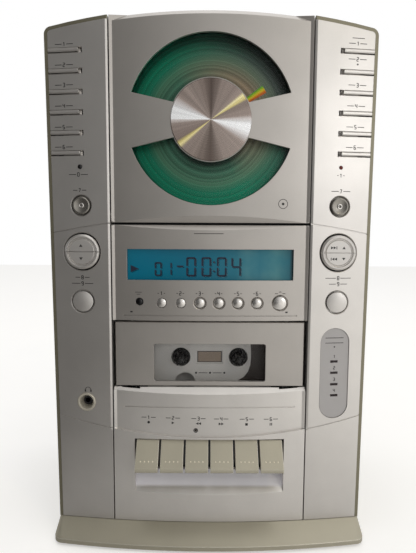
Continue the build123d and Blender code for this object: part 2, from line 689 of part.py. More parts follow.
def right_panel():
    """Right side panel with the long lens opening."""
    return side_panel() - slab(lens_outline(0), -2, FRAME_DEPTH - 1)


def equaliser_lens():
    """Long lens that fills its opening from behind, with a retaining flange."""
    face = slab(lens_outline(-0.25), 0, FRAME_DEPTH) & (bow(0.5) - bow(SKIN + 0.2))
    flange = slab(lens_outline(1.5), 0, FRAME_DEPTH) & (bow(SKIN + 0.1) - bow(SKIN + 1.3))
    return face + flange


def headphone_jack():
    """Headphone socket: plate and barrel behind the cup, with a ring round the bore."""
    plate = drum(JACK_X, JACK_Z, JACK_PLATE_R, JACK_PLATE, FRAME_DEPTH - 0.1)
    ring = drum(JACK_X, JACK_Z, JACK_RING_R, JACK_FRONT, JACK_PLATE)
    barrel = drum(JACK_X, JACK_Z, JACK_BARREL_R, FRAME_DEPTH - 0.1, JACK_FRONT + JACK_BORE_LENGTH + 2)
    bore = drum(JACK_X, JACK_Z, JACK_BORE_R, JACK_FRONT - 1, JACK_FRONT + JACK_BORE_LENGTH)
    return plate + ring + barrel - bore


# Buttons of the side columns

def bar_key(z):
    """One right-hand bar key, which follows the bow out to the shell's rim."""
    outer = half_width(z) - PANEL_INSET - GAP
    low = z - BAR_HEIGHT / 2
    high = z + BAR_HEIGHT / 2
    reach = bow_depth(outer)
    face = slab(rectangle(BAR_INNER, outer, low, high), -BAR_PROUD, reach + SKIN + 2)
    face &= bow(-BAR_PROUD) - bow(SKIN + 0.4)
    edges = face.edges().filter_by(GeomType.CIRCLE).sort_by(Axis.Y)[:2]
    face = chamfer(edges, BAR_ROUND)
    flange = rectangle(BAR_INNER - FLANGE_LAP, BAR_INNER + FLANGE_REACH, low - FLANGE_LAP, high + FLANGE_LAP)
    return face + (slab(flange, 0, FRAME_DEPTH) & (bow(SKIN + 0.3) - bow(SKIN + 0.3 + FLANGE_T)))


def round_button(x, z, radius, proud, inset, dish=0.0, dimple=0.0, dome=0.0, lap=FLANGE_LAP):
    """A round push button with a flange behind the panel: dished, domed or with a dimple."""
    depth = bow_depth(x) + inset
    slope = bow_depth(abs(x) + radius + lap) - bow_depth(x)
    back = depth + slope + SKIN + GAP
    front = depth - proud
    button = drum(x, z, radius, front + max(dome, 0.6), back)
    button += drum(x, z, radius + lap, back, back + FLANGE_T)
    if dome:
        ball = (radius ** 2 + dome ** 2) / (2 * dome)
        cap = Pos(x, FACE_Y + front + ball, z) * Sphere(ball)
        button += cap & drum(x, z, radius, front - 1, front + dome)
    else:
        button += cone(x, z, radius - 0.6, radius, front, front + 0.6)
    if dish:
        ball = (radius - 1.1) ** 2 / (2 * dish) + dish / 2
        button -= Pos(x, FACE_Y + front - ball + dish, z) * Sphere(ball)
    if dimple:
        button -= cone(x, z, dimple, dimple / 2, front + dish - 0.1, front + dish + dimple / 2)
    return button


def rocker():
    """Round rocker on the right side: rim, groove, middle and a split line across it."""
    front = bow_depth(SIDE_X) - 1.6
    back = ROCKER_BACK
    cap = drum(SIDE_X, ROCKER_Z, ROCKER_R, front + 1.2, back)
    cap += cone(SIDE_X, ROCKER_Z, ROCKER_R - 1.2, ROCKER_R, front, front + 1.2)
    cap -= cone(SIDE_X, ROCKER_Z, ROCKER_DISH_R, ROCKER_DISH_R - 0.5, front - 0.01, front + 0.9)
    cap += cone(SIDE_X, ROCKER_Z, ROCKER_DISH_R - 1.6, ROCKER_DISH_R - 0.9, front + 0.2, front + 1)
    left = SIDE_X - ROCKER_R
    right = SIDE_X + ROCKER_R
    cap -= block(left, right, front - 1, front + 1.5, ROCKER_Z - 0.25, ROCKER_Z + 0.25)
    left = SIDE_X - ROCKER_AXLE_REACH
    right = SIDE_X + ROCKER_AXLE_REACH
    return cap + rod(left, right, ROCKER_AXLE_DEPTH, ROCKER_Z, ROCKER_AXLE_R)


# Inner frame

def front_frame():
    """Plate behind the front mouldings, with the openings for the modules and the ears of the key shaft."""
    plate = slab(body_outline(SHELL_WALL + GAP, BODY_BOTTOM + GAP), FRAME_DEPTH, FRAME_DEPTH + FRAME_T)
    well = CHASSIS_HALF + GAP
    behind = 2 * FRAME_DEPTH
    plate -= block(-well, well, 0, behind, CD_Z - well, CD_Z + well)
    plate -= block(-DECK_HALF - GAP, DECK_HALF + GAP, 0, behind, DECK_LOW - GAP, DECK_HIGH + GAP)
    plate -= drum(JACK_X, JACK_Z, JACK_BARREL_R + GAP, 0, behind)
    for side in (-1, 1):
        x0, x1 = sorted((side * EAR_INNER, side * (EAR_INNER + EAR_WIDTH)))
        low = KEY_HINGE_Z - EAR_HALF
        ear = block(x0, x1, KEY_HINGE_DEPTH - EAR_HALF, FRAME_DEPTH, low, low + 2 * EAR_HALF)
        plate += ear - rod(x0, x1, KEY_HINGE_DEPTH, KEY_HINGE_Z, KEY_SHAFT_R)
    return plate


# Middle column

def cd_door():
    """Bowed door with a round window, two wedge spokes, a hub and hinge pins."""
    top = body_outline(0, DOOR_BOTTOM)
    outline = top & rectangle(-COLUMN_HALF, COLUMN_HALF, DOOR_BOTTOM, ARCH_TOP + 5)
    outside = slab(outline, -1, DOOR_DEPTH) & bow(0)
    hollow = slab(offset(outline, -SKIN, kind=Kind.INTERSECTION), -1, DOOR_DEPTH + 1) & bow(COLUMN_HOLLOW)
    door = outside - channel(DOOR_BOTTOM - 5, ARCH_TOP + 5)
    crown = door.edges().filter_by_position(Axis.Z, ARCH_TOP - CORNER_R, ARCH_TOP + 0.1)
    crown = crown.filter_by_position(Axis.Y, FACE_Y, FACE_Y + EDGE_DEPTH + 0.1)
    crown = [edge for edge in crown if edge.length > RAMP_INNER]
    door = chamfer(crown, DOOR_CHAMFER) - hollow
    door -= shoulder_flip(EDGE_DEPTH, DOOR_BOTTOM, DOOR_STEEP)
    far = WINDOW_R + 10
    wide = SPOKE_HALF + far * SPOKE_SLOPE
    lower = [(-far, -wide), (0, -SPOKE_HALF), (far, -wide)]
    upper = [(far, wide), (0, SPOKE_HALF), (-far, wide)]
    spokes = Polygon(*lower, *upper, align=None)
    window = Pos(0, CD_Z) * (Circle(WINDOW_R) - spokes - Circle(HUB_R))
    door -= slab(window, -2, DOOR_DEPTH + 2)
    door -= drum(0, CD_Z, MEDALLION_R + 0.1, -2, RECESS + MEDALLION_SEAT)
    cup = drum(0, CD_Z, CLAMP_STEM_R + GAP + CLAMP_RING_T, COLUMN_HOLLOW - GAP, DOOR_DEPTH + 2 * GAP)
    cup -= drum(0, CD_Z, CLAMP_STEM_R + GAP, COLUMN_HOLLOW + 2 * GAP, DOOR_DEPTH + SKIN)
    door += cup
    for side in (-1, 1):
        x0, x1 = sorted((side * (COLUMN_HALF - SKIN), side * (COLUMN_HALF + DOOR_PIN_REACH)))
        door += rod(x0, x1, DOOR_HINGE_DEPTH, DOOR_HINGE_Z, DOOR_PIN_R)
        x0, x1 = sorted((side * (COLUMN_HALF - SKIN), side * COLUMN_HALF))
        low = DOOR_HINGE_Z - DOOR_BOSS
        high = DOOR_HINGE_Z + DOOR_BOSS
        door += block(x0, x1, DOOR_HINGE_DEPTH - DOOR_BOSS, DOOR_HINGE_DEPTH + DOOR_BOSS, low, high)
    return door


def shoulder_flip(depth, z, steep, reach=30.0):
    """All that hangs below a slope rising forwards from an edge."""
    points = [(depth, z), (depth - reach, z + steep * reach), (depth - reach, z - reach), (depth, z - reach)]
    return beam(points, -RAMP_OUTER - 2, RAMP_OUTER + 2)


def cd_door_window():
    """Clear bowed pane behind the door's window."""
    pane = slab(Pos(0, CD_Z) * (Circle(WINDOW_R + PANE_LAP) - Circle(HUB_R - PANE_LAP)), 0, FRAME_DEPTH)
    return pane & (bow(COLUMN_HOLLOW + 0.05) - bow(COLUMN_HOLLOW + 0.05 + PANE_T))


def cd_medallion():
    """Spun metal disc set into the door's hub."""
    back = RECESS + MEDALLION_SEAT
    front = back - MEDALLION_T
    edge = 0.4
    bevel = cone(0, CD_Z, MEDALLION_R - edge, MEDALLION_R, front, front + edge)
    return bevel + drum(0, CD_Z, MEDALLION_R, front + edge, back)


def cd_clamp():
    """Puck that holds the disc down and spins in the door's cup."""
    face = DISC_DEPTH - GAP
    puck = drum(0, CD_Z, CLAMP_R, face - CLAMP_T, face)
    puck += drum(0, CD_Z, CLAMP_STEM_R, COLUMN_HOLLOW + 3 * GAP, face - CLAMP_T)
    return puck - drum(0, CD_Z, SPINDLE_NOSE_R + 0.7, face - 1.6, face + 1)


def cd_chassis():
    """Chassis with the disc's well, the spindle motor and the pickup's guide rods."""
    half = CHASSIS_HALF
    body = block(-half, half, CHASSIS_FRONT, WELL_FLOOR + WELL_FLOOR_T, CD_Z - half, CD_Z + half)
    body -= drum(0, CD_Z, WELL_R, CHASSIS_FRONT - 1, WELL_FLOOR)
    corner = half * 0.92
    for x in (-corner, corner):
        for z in (CD_Z - corner, CD_Z + corner):
            body -= drum(x, z, 2.0, CHASSIS_FRONT - 1, CHASSIS_FRONT + 1.5)
    slot = LASER_TURRET_R + 0.5
    body -= block(LASER_X - slot, LASER_X + LASER_TRAVEL + slot, WELL_FLOOR - 1, WELL_FLOOR + 10,
                  CD_Z - slot, CD_Z + slot)
    floor = WELL_FLOOR + WELL_FLOOR_T
    body += drum(0, CD_Z, MOTOR_R, floor, floor + MOTOR_LENGTH)
    body -= drum(0, CD_Z, DRIVE_SHAFT_R + FIT, WELL_FLOOR - 1, floor + MOTOR_LENGTH - 2)
    rod_depth = SLED_FRONT + SLED_T / 2
    rod_start = MOTOR_R + 0.6
    for z in (CD_Z - ROD_OFFSET, CD_Z + ROD_OFFSET):
        body += rod(rod_start, half, rod_depth, z, ROD_R)
        body += block(rod_start - 1.5, rod_start + 1.2, floor, rod_depth + 2, z - 2, z + 2)
        body += block(half - 1.4, half, floor, rod_depth + 2, z - 2, z + 2)
    return body


def cd_turntable():
    """Turntable with the nose that centres the disc, and its shaft."""
    platform = DISC_DEPTH + DISC_T + 0.05
    table = drum(0, CD_Z, TURNTABLE_R, platform, platform + TURNTABLE_T)
    table += drum(0, CD_Z, SPINDLE_NOSE_R, DISC_DEPTH, platform)
    table += cone(0, CD_Z, SPINDLE_NOSE_R - 1.2, SPINDLE_NOSE_R, DISC_DEPTH - 1.1, DISC_DEPTH)
    end = WELL_FLOOR + WELL_FLOOR_T + MOTOR_LENGTH - 3
    return table + drum(0, CD_Z, DRIVE_SHAFT_R, platform + TURNTABLE_T, end)


def compact_disc():
    """Disc of 120 mm with a 15 mm hole."""
    disc = drum(0, CD_Z, DISC_R, DISC_DEPTH, DISC_DEPTH + DISC_T)
    return disc - drum(0, CD_Z, DISC_BORE_R, DISC_DEPTH - 1, DISC_DEPTH + DISC_T + 1)


def laser_pickup():
    """Pickup sled on two rods, with the lens turret that looks through the slot."""
    sled = block(LASER_X - SLED_HALF, LASER_X + SLED_HALF, SLED_FRONT, SLED_FRONT + SLED_T,
                 CD_Z - SLED_HEIGHT_HALF, CD_Z + SLED_HEIGHT_HALF)
    lens_front = DISC_DEPTH + DISC_T + 1.2
    sled += drum(LASER_X, CD_Z, LASER_TURRET_R, lens_front + 0.8, SLED_FRONT)
    sled += drum(LASER_X, CD_Z, LASER_LENS_R, lens_front, lens_front + 0.8)
    for z in (CD_Z - ROD_OFFSET, CD_Z + ROD_OFFSET):
        sled -= rod(LASER_X - SLED_HALF - 1, LASER_X + SLED_HALF + 1, SLED_FRONT + SLED_T / 2, z, ROD_R + FIT)
    return sled


def tuner_panel():
    """Bowed panel with the display window, preset holes, mode hole and sensor hole."""
    outline = rectangle(-COLUMN_HALF, COLUMN_HALF, TUNER_BOTTOM, TUNER_TOP)
    inner = rectangle(-COLUMN_HALF + SKIN, COLUMN_HALF - SKIN, TUNER_BOTTOM + SKIN, TUNER_TOP - SKIN)
    panel = tray(outline, inner, COLUMN_HOLLOW, FRAME_DEPTH)
    panel -= channel(TUNER_BOTTOM - 5, TUNER_TOP + 5)
    panel -= shoulder_cut(EDGE_DEPTH, TUNER_TOP, TUNER_STEEP)
    panel -= slab(rectangle(-LCD_HALF, LCD_HALF, LCD_LOW, LCD_HIGH), -1, FRAME_DEPTH - 1)
    line = rectangle(-LINE_HALF, LINE_HALF, TUNER_LINE_Z - GROOVE_W / 2, TUNER_LINE_Z + GROOVE_W / 2)
    panel -= groove(line, RECESS)
    for x in PRESET_X:
        panel -= drum(x, PRESET_Z, PRESET_R + BUTTON_GAP, -1, FRAME_DEPTH - 1)
        panel -= mouth(x, PRESET_Z, PRESET_R + BUTTON_GAP, RECESS, PRESET_MOUTH)
    panel -= drum(MODE_X, PRESET_Z, MODE_R + BUTTON_GAP, -1, FRAME_DEPTH - 1)
    panel -= mouth(MODE_X, PRESET_Z, MODE_R + BUTTON_GAP, RECESS, PRESET_MOUTH)
    panel -= drum(SENSOR_X, SENSOR_Z, SENSOR_R, -1, FRAME_DEPTH - 1)
    return panel


def lcd_module():
    """Display module: carrier on the frame, with the glass in front."""
    opening = rectangle(-LCD_HALF, LCD_HALF, LCD_LOW, LCD_HIGH)
    front = COLUMN_HOLLOW + bow_depth(LCD_HALF + LCD_GLASS_LAP) + GAP
    back = front + LCD_GLASS_T
    glass = slab(offset(opening, LCD_GLASS_LAP, kind=Kind.INTERSECTION), front, back)
    return glass + slab(offset(opening, LCD_CARRIER_LAP, kind=Kind.INTERSECTION), back, FRAME_DEPTH)


def cassette_door():
    """Flat door with a rebated window."""
    outline = rectangle(-TAPE_DOOR_HALF, TAPE_DOOR_HALF, TAPE_DOOR_LOW, TAPE_DOOR_HIGH)
    back = TAPE_DOOR_DEPTH + TAPE_DOOR_T
    door = slab(outline, TAPE_DOOR_DEPTH, back)
    front = FACE_Y + TAPE_DOOR_DEPTH
    door = chamfer(door.edges().filter_by_position(Axis.Y, front - 0.01, front + 0.01), 0.5)
    hole = rectangle(-TAPE_WINDOW_HALF, TAPE_WINDOW_HALF, TAPE_WINDOW_LOW, TAPE_WINDOW_HIGH)
    door -= slab(fillet(hole.vertices(), TAPE_WINDOW_R), TAPE_DOOR_DEPTH - 1, back + 1)
    rebate = offset(hole, TAPE_PANE_LAP, kind=Kind.INTERSECTION)
    door -= slab(rebate, back - TAPE_PANE_T, back + 1)
    under = [(TAPE_DOOR_DEPTH, TAPE_DOOR_LOW - 1), (back + 1, TAPE_DOOR_LOW - 1),
             (back, TAPE_DOOR_LOW + TAPE_DOOR_SLANT), (TAPE_DOOR_DEPTH + 0.5, TAPE_DOOR_LOW)]
    return door - beam(under, -TAPE_DOOR_HALF - 1, TAPE_DOOR_HALF + 1)


def cassette_door_window():
    """Clear flat pane in the door's rebate."""
    back = TAPE_DOOR_DEPTH + TAPE_DOOR_T
    hole = rectangle(-TAPE_WINDOW_HALF, TAPE_WINDOW_HALF, TAPE_WINDOW_LOW, TAPE_WINDOW_HIGH)
    return slab(offset(hole, TAPE_PANE_LAP - 0.1, kind=Kind.INTERSECTION), back - TAPE_PANE_T, back)


def cassette_holder():
    """Two side channels and a shelf behind the door, hung on two hinge pins."""
    top = HUB_Z + HOLDER_ABOVE_HUB
    floor = HUB_Z - CASSETTE_BELOW_HUB - CASSETTE_PLAY
    shelf = floor - HOLDER_WALL
    low = shelf - HOLDER_WALL
    holder = block(-HOLDER_OUTER, HOLDER_OUTER, HOLDER_FRONT, HOLDER_BACK, shelf, floor)
    cut_front = HOLDER_FRONT + HOLDER_WALL
    holder -= block(-SHELF_GAP_HALF, SHELF_GAP_HALF, cut_front, HOLDER_BACK + 1, low, floor + 1)
    pin_top = TAPE_HINGE_Z + 1.5 * TAPE_PIN_R
    for side in (-1, 1):
        x0, x1 = sorted((side * HOLDER_INNER, side * HOLDER_OUTER))
        holder += block(x0, x1, HOLDER_FRONT, HOLDER_BACK, HOLDER_STEP_Z, top)
        holder += block(x0, x1, HOLDER_STEP_DEPTH, HOLDER_BACK, shelf, HOLDER_STEP_Z)
        holder += block(x0, x1, HOLDER_FRONT, TAPE_HINGE_DEPTH + 2 * TAPE_PIN_R, low, pin_top)
        x0, x1 = sorted((side * (HOLDER_INNER - HOLDER_LIP), side * HOLDER_INNER))
        holder += block(x0, x1, HOLDER_BACK - 1, HOLDER_BACK, floor, top)
        x0, x1 = sorted((side * HOLDER_INNER, side * PIN_OUTER))
        holder += rod(x0, x1, TAPE_HINGE_DEPTH, TAPE_HINGE_Z, TAPE_PIN_R)
    return holder


def cassette_deck():
    """Deck moulding: front plate with spindle holes, walls, back plate and the ears of the door's hinge."""
    deck = block(-DECK_HALF, DECK_HALF, DECK_FRONT, DECK_BACK, DECK_LOW, DECK_HIGH)
    inside = DECK_HALF - DECK_T
    plate_back = DECK_FRONT + DECK_T
    far = DECK_BACK - DECK_BACK_T
    deck -= block(-inside, inside, plate_back, far, DECK_LOW + DECK_T, DECK_HIGH - DECK_T)
    for x in (-HUB_X, HUB_X):
        deck -= drum(x, HUB_Z, SPINDLE_HOLE_R, DECK_FRONT - 1, plate_back + 1)
        deck += drum(x, HUB_Z, SPINDLE_SHAFT_R + SPINDLE_BOSS, far - DECK_BACK_T, far)
        deck -= drum(x, HUB_Z, SPINDLE_SHAFT_R + FIT, far - 2 * DECK_BACK_T, DECK_BACK + 1)
    label = rectangle(-LABEL_HALF, LABEL_HALF, HUB_Z - LABEL_LOW, HUB_Z + LABEL_HIGH)
    deck -= slab(label, DECK_FRONT - 1, DECK_FRONT + LABEL_DEPTH)
    field = rectangle(-NOTCH_HALF, NOTCH_HALF, -NOTCH_LOW, NOTCH_R + 1)
    deck -= slab(Pos(NOTCH_X, HUB_Z - NOTCH_DROP) * (field & Circle(NOTCH_R)), DECK_FRONT - 1, plate_back + 1)
    ear_half = 2 * TAPE_PIN_R
    for side in (-1, 1):
        x0, x1 = sorted((side * (HOLDER_OUTER + 2 * GAP), side * (PIN_OUTER + GAP)))
        low = TAPE_HINGE_Z - ear_half
        high = TAPE_HINGE_Z + ear_half
        deck += block(x0, x1, TAPE_HINGE_DEPTH - ear_half, DECK_FRONT, low, high)
        deck -= rod(x0 - 1, x1 + 1, TAPE_HINGE_DEPTH, TAPE_HINGE_Z, TAPE_PIN_R + FIT)
    return deck


def tape_spindle(x):
    """Finned spindle with its flange behind the deck plate and its shaft in the back plate."""
    far = DECK_BACK - DECK_BACK_T - SPINDLE_BOSS
    flange = DECK_FRONT + DECK_T + 2 * GAP
    nose = SPINDLE_HUB_R / 2
    spindle = drum(x, HUB_Z, SPINDLE_HUB_R, SPINDLE_TIP, far)
    spindle += cone(x, HUB_Z, nose, SPINDLE_HUB_R, SPINDLE_TIP - nose, SPINDLE_TIP)
    spindle += drum(x, HUB_Z, SPINDLE_FLANGE_R, flange, flange + SPINDLE_FLANGE_T)
    fin = Rectangle(2 * SPINDLE_FIN_R, SPINDLE_FIN_T)
    fins = Rot(0, 0, 0) * fin + Rot(0, 0, 60) * fin + Rot(0, 0, 120) * fin
    spindle += slab(Pos(x, HUB_Z) * fins, SPINDLE_TIP + nose, flange)
    return spindle + drum(x, HUB_Z, SPINDLE_SHAFT_R, far, DECK_BACK + nose)


def head_carriage():
    """Carriage under the cassette with the tape head and two pinch rollers, close to the deck plate."""
    back = DECK_FRONT - GAP
    front = CARRIAGE_FRONT
    top = DECK_LOW + CARRIAGE_T
    carriage = block(-CARRIAGE_HALF, CARRIAGE_HALF, front, back, DECK_LOW, top)
    carriage += block(-HEAD_HALF, HEAD_HALF, front, back, top, DECK_LOW + HEAD_LOW)
    tip = DECK_LOW + HEAD_LOW + HEAD_TIP
    carriage += block(-HEAD_TIP_HALF, HEAD_TIP_HALF, front + 1, back - 1, DECK_LOW + HEAD_LOW, tip)
    axle = DECK_LOW + ROLLER_RISE
    for x in (-ROLLER_X, ROLLER_X):
        carriage += block(x - ROLLER_ARM_HALF, x + ROLLER_ARM_HALF, back - CARRIAGE_T, back, top, axle)
        carriage += drum(x, axle, ROLLER_R, front, back - 1)
    return carriage


def lower_panel():
    """Bowed panel with the key opening and the finger scoop below it."""
    outline = rectangle(-COLUMN_HALF, COLUMN_HALF, BODY_BOTTOM + GAP, LOWER_TOP)
    inner = rectangle(-COLUMN_HALF + SKIN, COLUMN_HALF - SKIN, BODY_BOTTOM + GAP + SKIN, LOWER_TOP + 5)
    panel = tray(outline, inner, COLUMN_HOLLOW, FRAME_DEPTH)
    arc = Pos(0, LOW_GROOVE_Z + LOW_GROOVE_R) * Circle(LOW_GROOVE_R)
    above_arc = rectangle(-COLUMN_HALF - 5, COLUMN_HALF + 5, LOW_GROOVE_Z - 5, LOWER_TOP + 5) & arc
    panel -= channel(LOW_GROOVE_Z - 5, LOWER_TOP + 5) & slab(above_arc, -FRAME_DEPTH, FRAME_DEPTH)
    fill_half = HOLDER_INNER - 6 * GAP
    fill_low = LOWER_TOP - LOWER_STEEP * (TAPE_LEDGE - RECESS) - SKIN
    fill = block(-fill_half, fill_half, RECESS, TAPE_LEDGE + FILL_BACK, fill_low, LOWER_TOP - GAP)
    panel += fill & bow(COLUMN_HOLLOW - SKIN / 10)
    panel -= shoulder_cut(TAPE_LEDGE, LOWER_TOP - GAP, LOWER_STEEP)
    line = rectangle(-LINE_HALF, LINE_HALF, LOWER_LINE_Z - GROOVE_W / 2, LOWER_LINE_Z + GROOVE_W / 2)
    panel -= groove(line, RECESS)
    outer_half = KEY_OPENING_HALF + SCOOP_WALL
    back = SCOOP_DEPTH + SCOOP_WALL
    low = SCOOP_FRONT_Z - SCOOP_WALL * math.sqrt(2)
    front = COLUMN_HOLLOW - SKIN / 10
    box = [(front, low + front), (back, low + back), (back, SCOOP_TOP), (front, SCOOP_TOP)]
    panel += beam(box, -outer_half, outer_half) & bow(0.5)
    void = [(-8, SCOOP_FRONT_Z - 8), (SCOOP_DEPTH, SCOOP_FRONT_Z + SCOOP_DEPTH),
            (SCOOP_DEPTH, SCOOP_TOP + 1), (-8, SCOOP_TOP + 1)]
    panel -= beam(void, -KEY_OPENING_HALF, KEY_OPENING_HALF)
    opening = rectangle(-KEY_OPENING_HALF, KEY_OPENING_HALF, SCOOP_TOP - 2, KEY_OPENING_TOP)
    panel -= slab(opening, -1, FRAME_DEPTH - 1)
    return panel - drum(MIC_X, MIC_Z, MIC_R, -1, FRAME_DEPTH - 1)


def tape_key(index):
    """One piano key: sloping face with an upright lip, and a barrel on the shaft."""
    x = (index - (KEY_COUNT - 1) / 2) * KEY_PITCH
    left = x - KEY_WIDTH / 2
    right = x + KEY_WIDTH / 2
    z = KEY_HINGE_Z
    depth = KEY_HINGE_DEPTH
    lip = depth - KEY_REACH
    foot = z - KEY_DROP
    shoulder = z - KEY_SHOULDER_DROP
    face = [(lip, foot + KEY_LIP_H), (depth - KEY_SHOULDER, shoulder), (depth - KEY_WALL, shoulder)]
    root = [(depth - KEY_WALL, z), (depth + KEY_ROOT, z - KEY_ROOT / 2), (depth + KEY_ROOT / 2, shoulder)]
    under = [(depth - KEY_WALL, shoulder - 1.8 * KEY_WALL), (lip + 2 * KEY_WALL, foot + KEY_LIP_H / 2),
             (lip + KEY_WALL / 2, foot - KEY_WALL / 4), (lip + KEY_WALL / 8, foot)]
    key = beam(face + root + under, left, right)
    front = key.edges().filter_by(Axis.X).sort_by(Axis.Y)[:2]
    key = chamfer(front, KEY_LIP_ROUND)
    key += rod(left, right, depth, z, KEY_BARREL_R)
    return key - rod(left - 1, right + 1, depth, z, KEY_SHAFT_R + FIT)


def key_shaft():
    """Shaft that the six keys turn on."""
    reach = EAR_INNER + EAR_WIDTH
    return rod(-reach, reach, KEY_HINGE_DEPTH, KEY_HINGE_Z, KEY_SHAFT_R)


# Writing every piece

save(base_stand(), "base_stand")
save(rubber_feet(), "rubber_feet")
save(rear_shell(), "rear_shell")
save(rear_terminals(), "rear_terminals")
save(main_board(), "main_board")
save(left_panel(), "left_panel")
save(right_panel(), "right_panel")
save(equaliser_lens(), "equaliser_lens")
save(headphone_jack(), "headphone_jack")
save(front_frame(), "front_frame")
save(cd_door(), "cd_door")
save(cd_door_window(), "cd_door_window")
save(cd_medallion(), "cd_medallion")
save(cd_clamp(), "cd_clamp")
save(cd_chassis(), "cd_chassis")
save(cd_turntable(), "cd_turntable")
save(compact_disc(), "compact_disc")
save(laser_pickup(), "laser_pickup")
save(tuner_panel(), "tuner_panel")
save(lcd_module(), "lcd_module")
save(cassette_door(), "cassette_door")
save(cassette_door_window(), "cassette_door_window")
save(cassette_holder(), "cassette_holder")
save(cassette_deck(), "cassette_deck")
save(tape_spindle(-HUB_X), "supply_spindle")
save(tape_spindle(HUB_X), "take_up_spindle")
save(head_carriage(), "head_carriage")
save(lower_panel(), "lower_panel")
save(key_shaft(), "key_shaft")

for index, name in enumerate(("record", "play", "rewind", "fast_forward", "stop_eject", "pause")):
    save(tape_key(index), f"{name}_key")

for index, z in enumerate(BAR_Z, start=1):
    save(bar_key(z), f"right_bar_{index}")
    save(mirrored(bar_key(z)), f"left_bar_{index}")

for index, x in enumerate(PRESET_X, start=1):
    save(round_button(x, PRESET_Z, PRESET_R, 0.6, RECESS, dome=PRESET_DOME), f"preset_button_{index}")
save(round_button(MODE_X, PRESET_Z, MODE_R, 0.6, RECESS, dome=PRESET_DOME), "mode_button")

for side, round_name, plain_name in ((-1, "power", "band"), (1, "bass", "equaliser")):
    lap = RING_GAP + 0.85
    button = round_button(side * SIDE_X, ROUND_Z, ROUND_R, 0.9, 0, dish=0.9, dimple=ROUND_DIMPLE_R, lap=lap)
    save(button, f"{round_name}_button")
    button = round_button(side * SIDE_X, PLAIN_Z, PLAIN_R, 1.0, 0, dome=PLAIN_DOME, lap=lap)
    save(button, f"{plain_name}_button")
save(rocker(), "tuning_rocker")
save(mirrored(rocker()), "volume_rocker")
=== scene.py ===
"""Finishes and studio stage for the upright cassette and CD player."""

import math

import bmesh
import bpy
from bpy.props import FloatProperty, FloatVectorProperty, PointerProperty
from mathutils import Matrix, Vector
from mathutils.bvhtree import BVHTree


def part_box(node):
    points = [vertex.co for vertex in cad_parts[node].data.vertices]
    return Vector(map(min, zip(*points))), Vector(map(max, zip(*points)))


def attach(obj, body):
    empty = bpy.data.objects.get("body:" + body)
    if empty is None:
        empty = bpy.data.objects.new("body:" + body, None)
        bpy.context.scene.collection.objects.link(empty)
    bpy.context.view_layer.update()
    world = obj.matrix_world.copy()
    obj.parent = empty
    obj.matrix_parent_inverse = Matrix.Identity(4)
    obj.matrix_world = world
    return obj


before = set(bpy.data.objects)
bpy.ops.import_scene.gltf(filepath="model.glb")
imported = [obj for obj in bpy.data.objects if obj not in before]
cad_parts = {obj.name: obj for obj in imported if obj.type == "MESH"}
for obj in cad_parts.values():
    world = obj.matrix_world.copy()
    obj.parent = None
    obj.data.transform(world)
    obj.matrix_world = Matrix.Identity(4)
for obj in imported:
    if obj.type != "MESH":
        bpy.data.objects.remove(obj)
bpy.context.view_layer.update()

bl_info = {
    "name": "Upright cassette and CD player",
    "version": (1, 0, 0),
    "blender": (4, 5, 0),
    "location": "3D View > Sidebar > Player",
    "description": "Finishes, markings and stage for an upright cassette and CD player",
    "category": "Object",
}

MM = 0.001

# Measures of the player that the pieces and the drawn looks follow, in millimetres
BOW_R = 800.0             # radius of the front's bow, seen from above
GLASS_HALF = 57.0         # half of the display glass's width
GLASS_RIM = (54.8, 56.6)  # the display darkens between these places at its right
DISC_LABEL_R = 26.0       # the disc's print runs from here
DISC_EDGE_R = 56.0        # to here
RAINBOW_R = 43.5          # where the rainbow wedge ends
RAINBOW_ANGLE = 33.0      # degrees from the right
# The scoop's box, where the lower panel is painted light:
SCOOP_TOP = 56.0          # the scoop lies below this height
SCOOP_FACE_Y = -61.5      # and behind this y

# The photograph's camera, fitted to the object: millimetres and degrees
CAMERA_PLACE = (-1.6, -362.0, 215.3)
CAMERA_LENS = 28.64
CAMERA_DOWN = 5.08
CAMERA_ROLL = -0.27


def box_mm(node):
    """Lowest and highest corner of a CAD node, in millimetres."""
    low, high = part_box(node)
    return [value / MM for value in low], [value / MM for value in high]


def centre_mm(node):
    """Centre of a CAD node's box as (x, y, z) in millimetres."""
    low, high = box_mm(node)
    return [(a + b) / 2 for a, b in zip(low, high)]


def linear(hex_colour):
    """An sRGB hex colour as linear red, green, blue and alpha."""
    values = [int(hex_colour[index:index + 2], 16) / 255 for index in (1, 3, 5)]
    values = [v / 12.92 if v <= 0.04045 else ((v + 0.055) / 1.055) ** 2.4 for v in values]
    return (*values, 1.0)


def scale_of(millimetres):
    """Texture scale at which one cell of a pattern is that large."""
    return 1.0 / (millimetres * MM)


# Settings

def colour(label, description, hex_colour):
    """A colour setting."""
    return FloatVectorProperty(name=label, description=description, default=linear(hex_colour)[:3],
                               subtype="COLOR", size=3, min=0.0, max=1.0)


class PLAYER_PG_finish(bpy.types.PropertyGroup):
    """Colours of the player's finishes"""
    silver: colour("Silver lacquer", "Lacquer of the side panels and the lower panel", "#C9C5C0")
    column: colour("Column lacquer", "Lacquer of the two doors and the tuner panel", "#B1ACA6")
    champagne: colour("Champagne lacquer", "Lacquer of the base and the tape keys", "#ACA694")
    shell: colour("Shell", "Lacquer of the rear shell", "#7E7966")
    dark: colour("Dark moulding", "Inner frame and wells", "#2A2A2C")
    grey: colour("Grey moulding", "Deck plate behind the cassette window", "#E0DDD8")
    ink: colour("Ink", "Printed marks", "#1C1A1A")
    display: colour("Display", "Display glass at its left", "#00607A")
    figure: colour("Display figures", "Liquid crystal segments", "#04142E")
    disc: colour("Disc", "Outer band of the disc's green print", "#008A66")


def length(label, description, value, low, high):
    """A length setting; the numbers are in millimetres."""
    return FloatProperty(name=label, description=description, default=value * MM, min=low * MM, max=high * MM,
                         subtype="DISTANCE", unit="LENGTH")


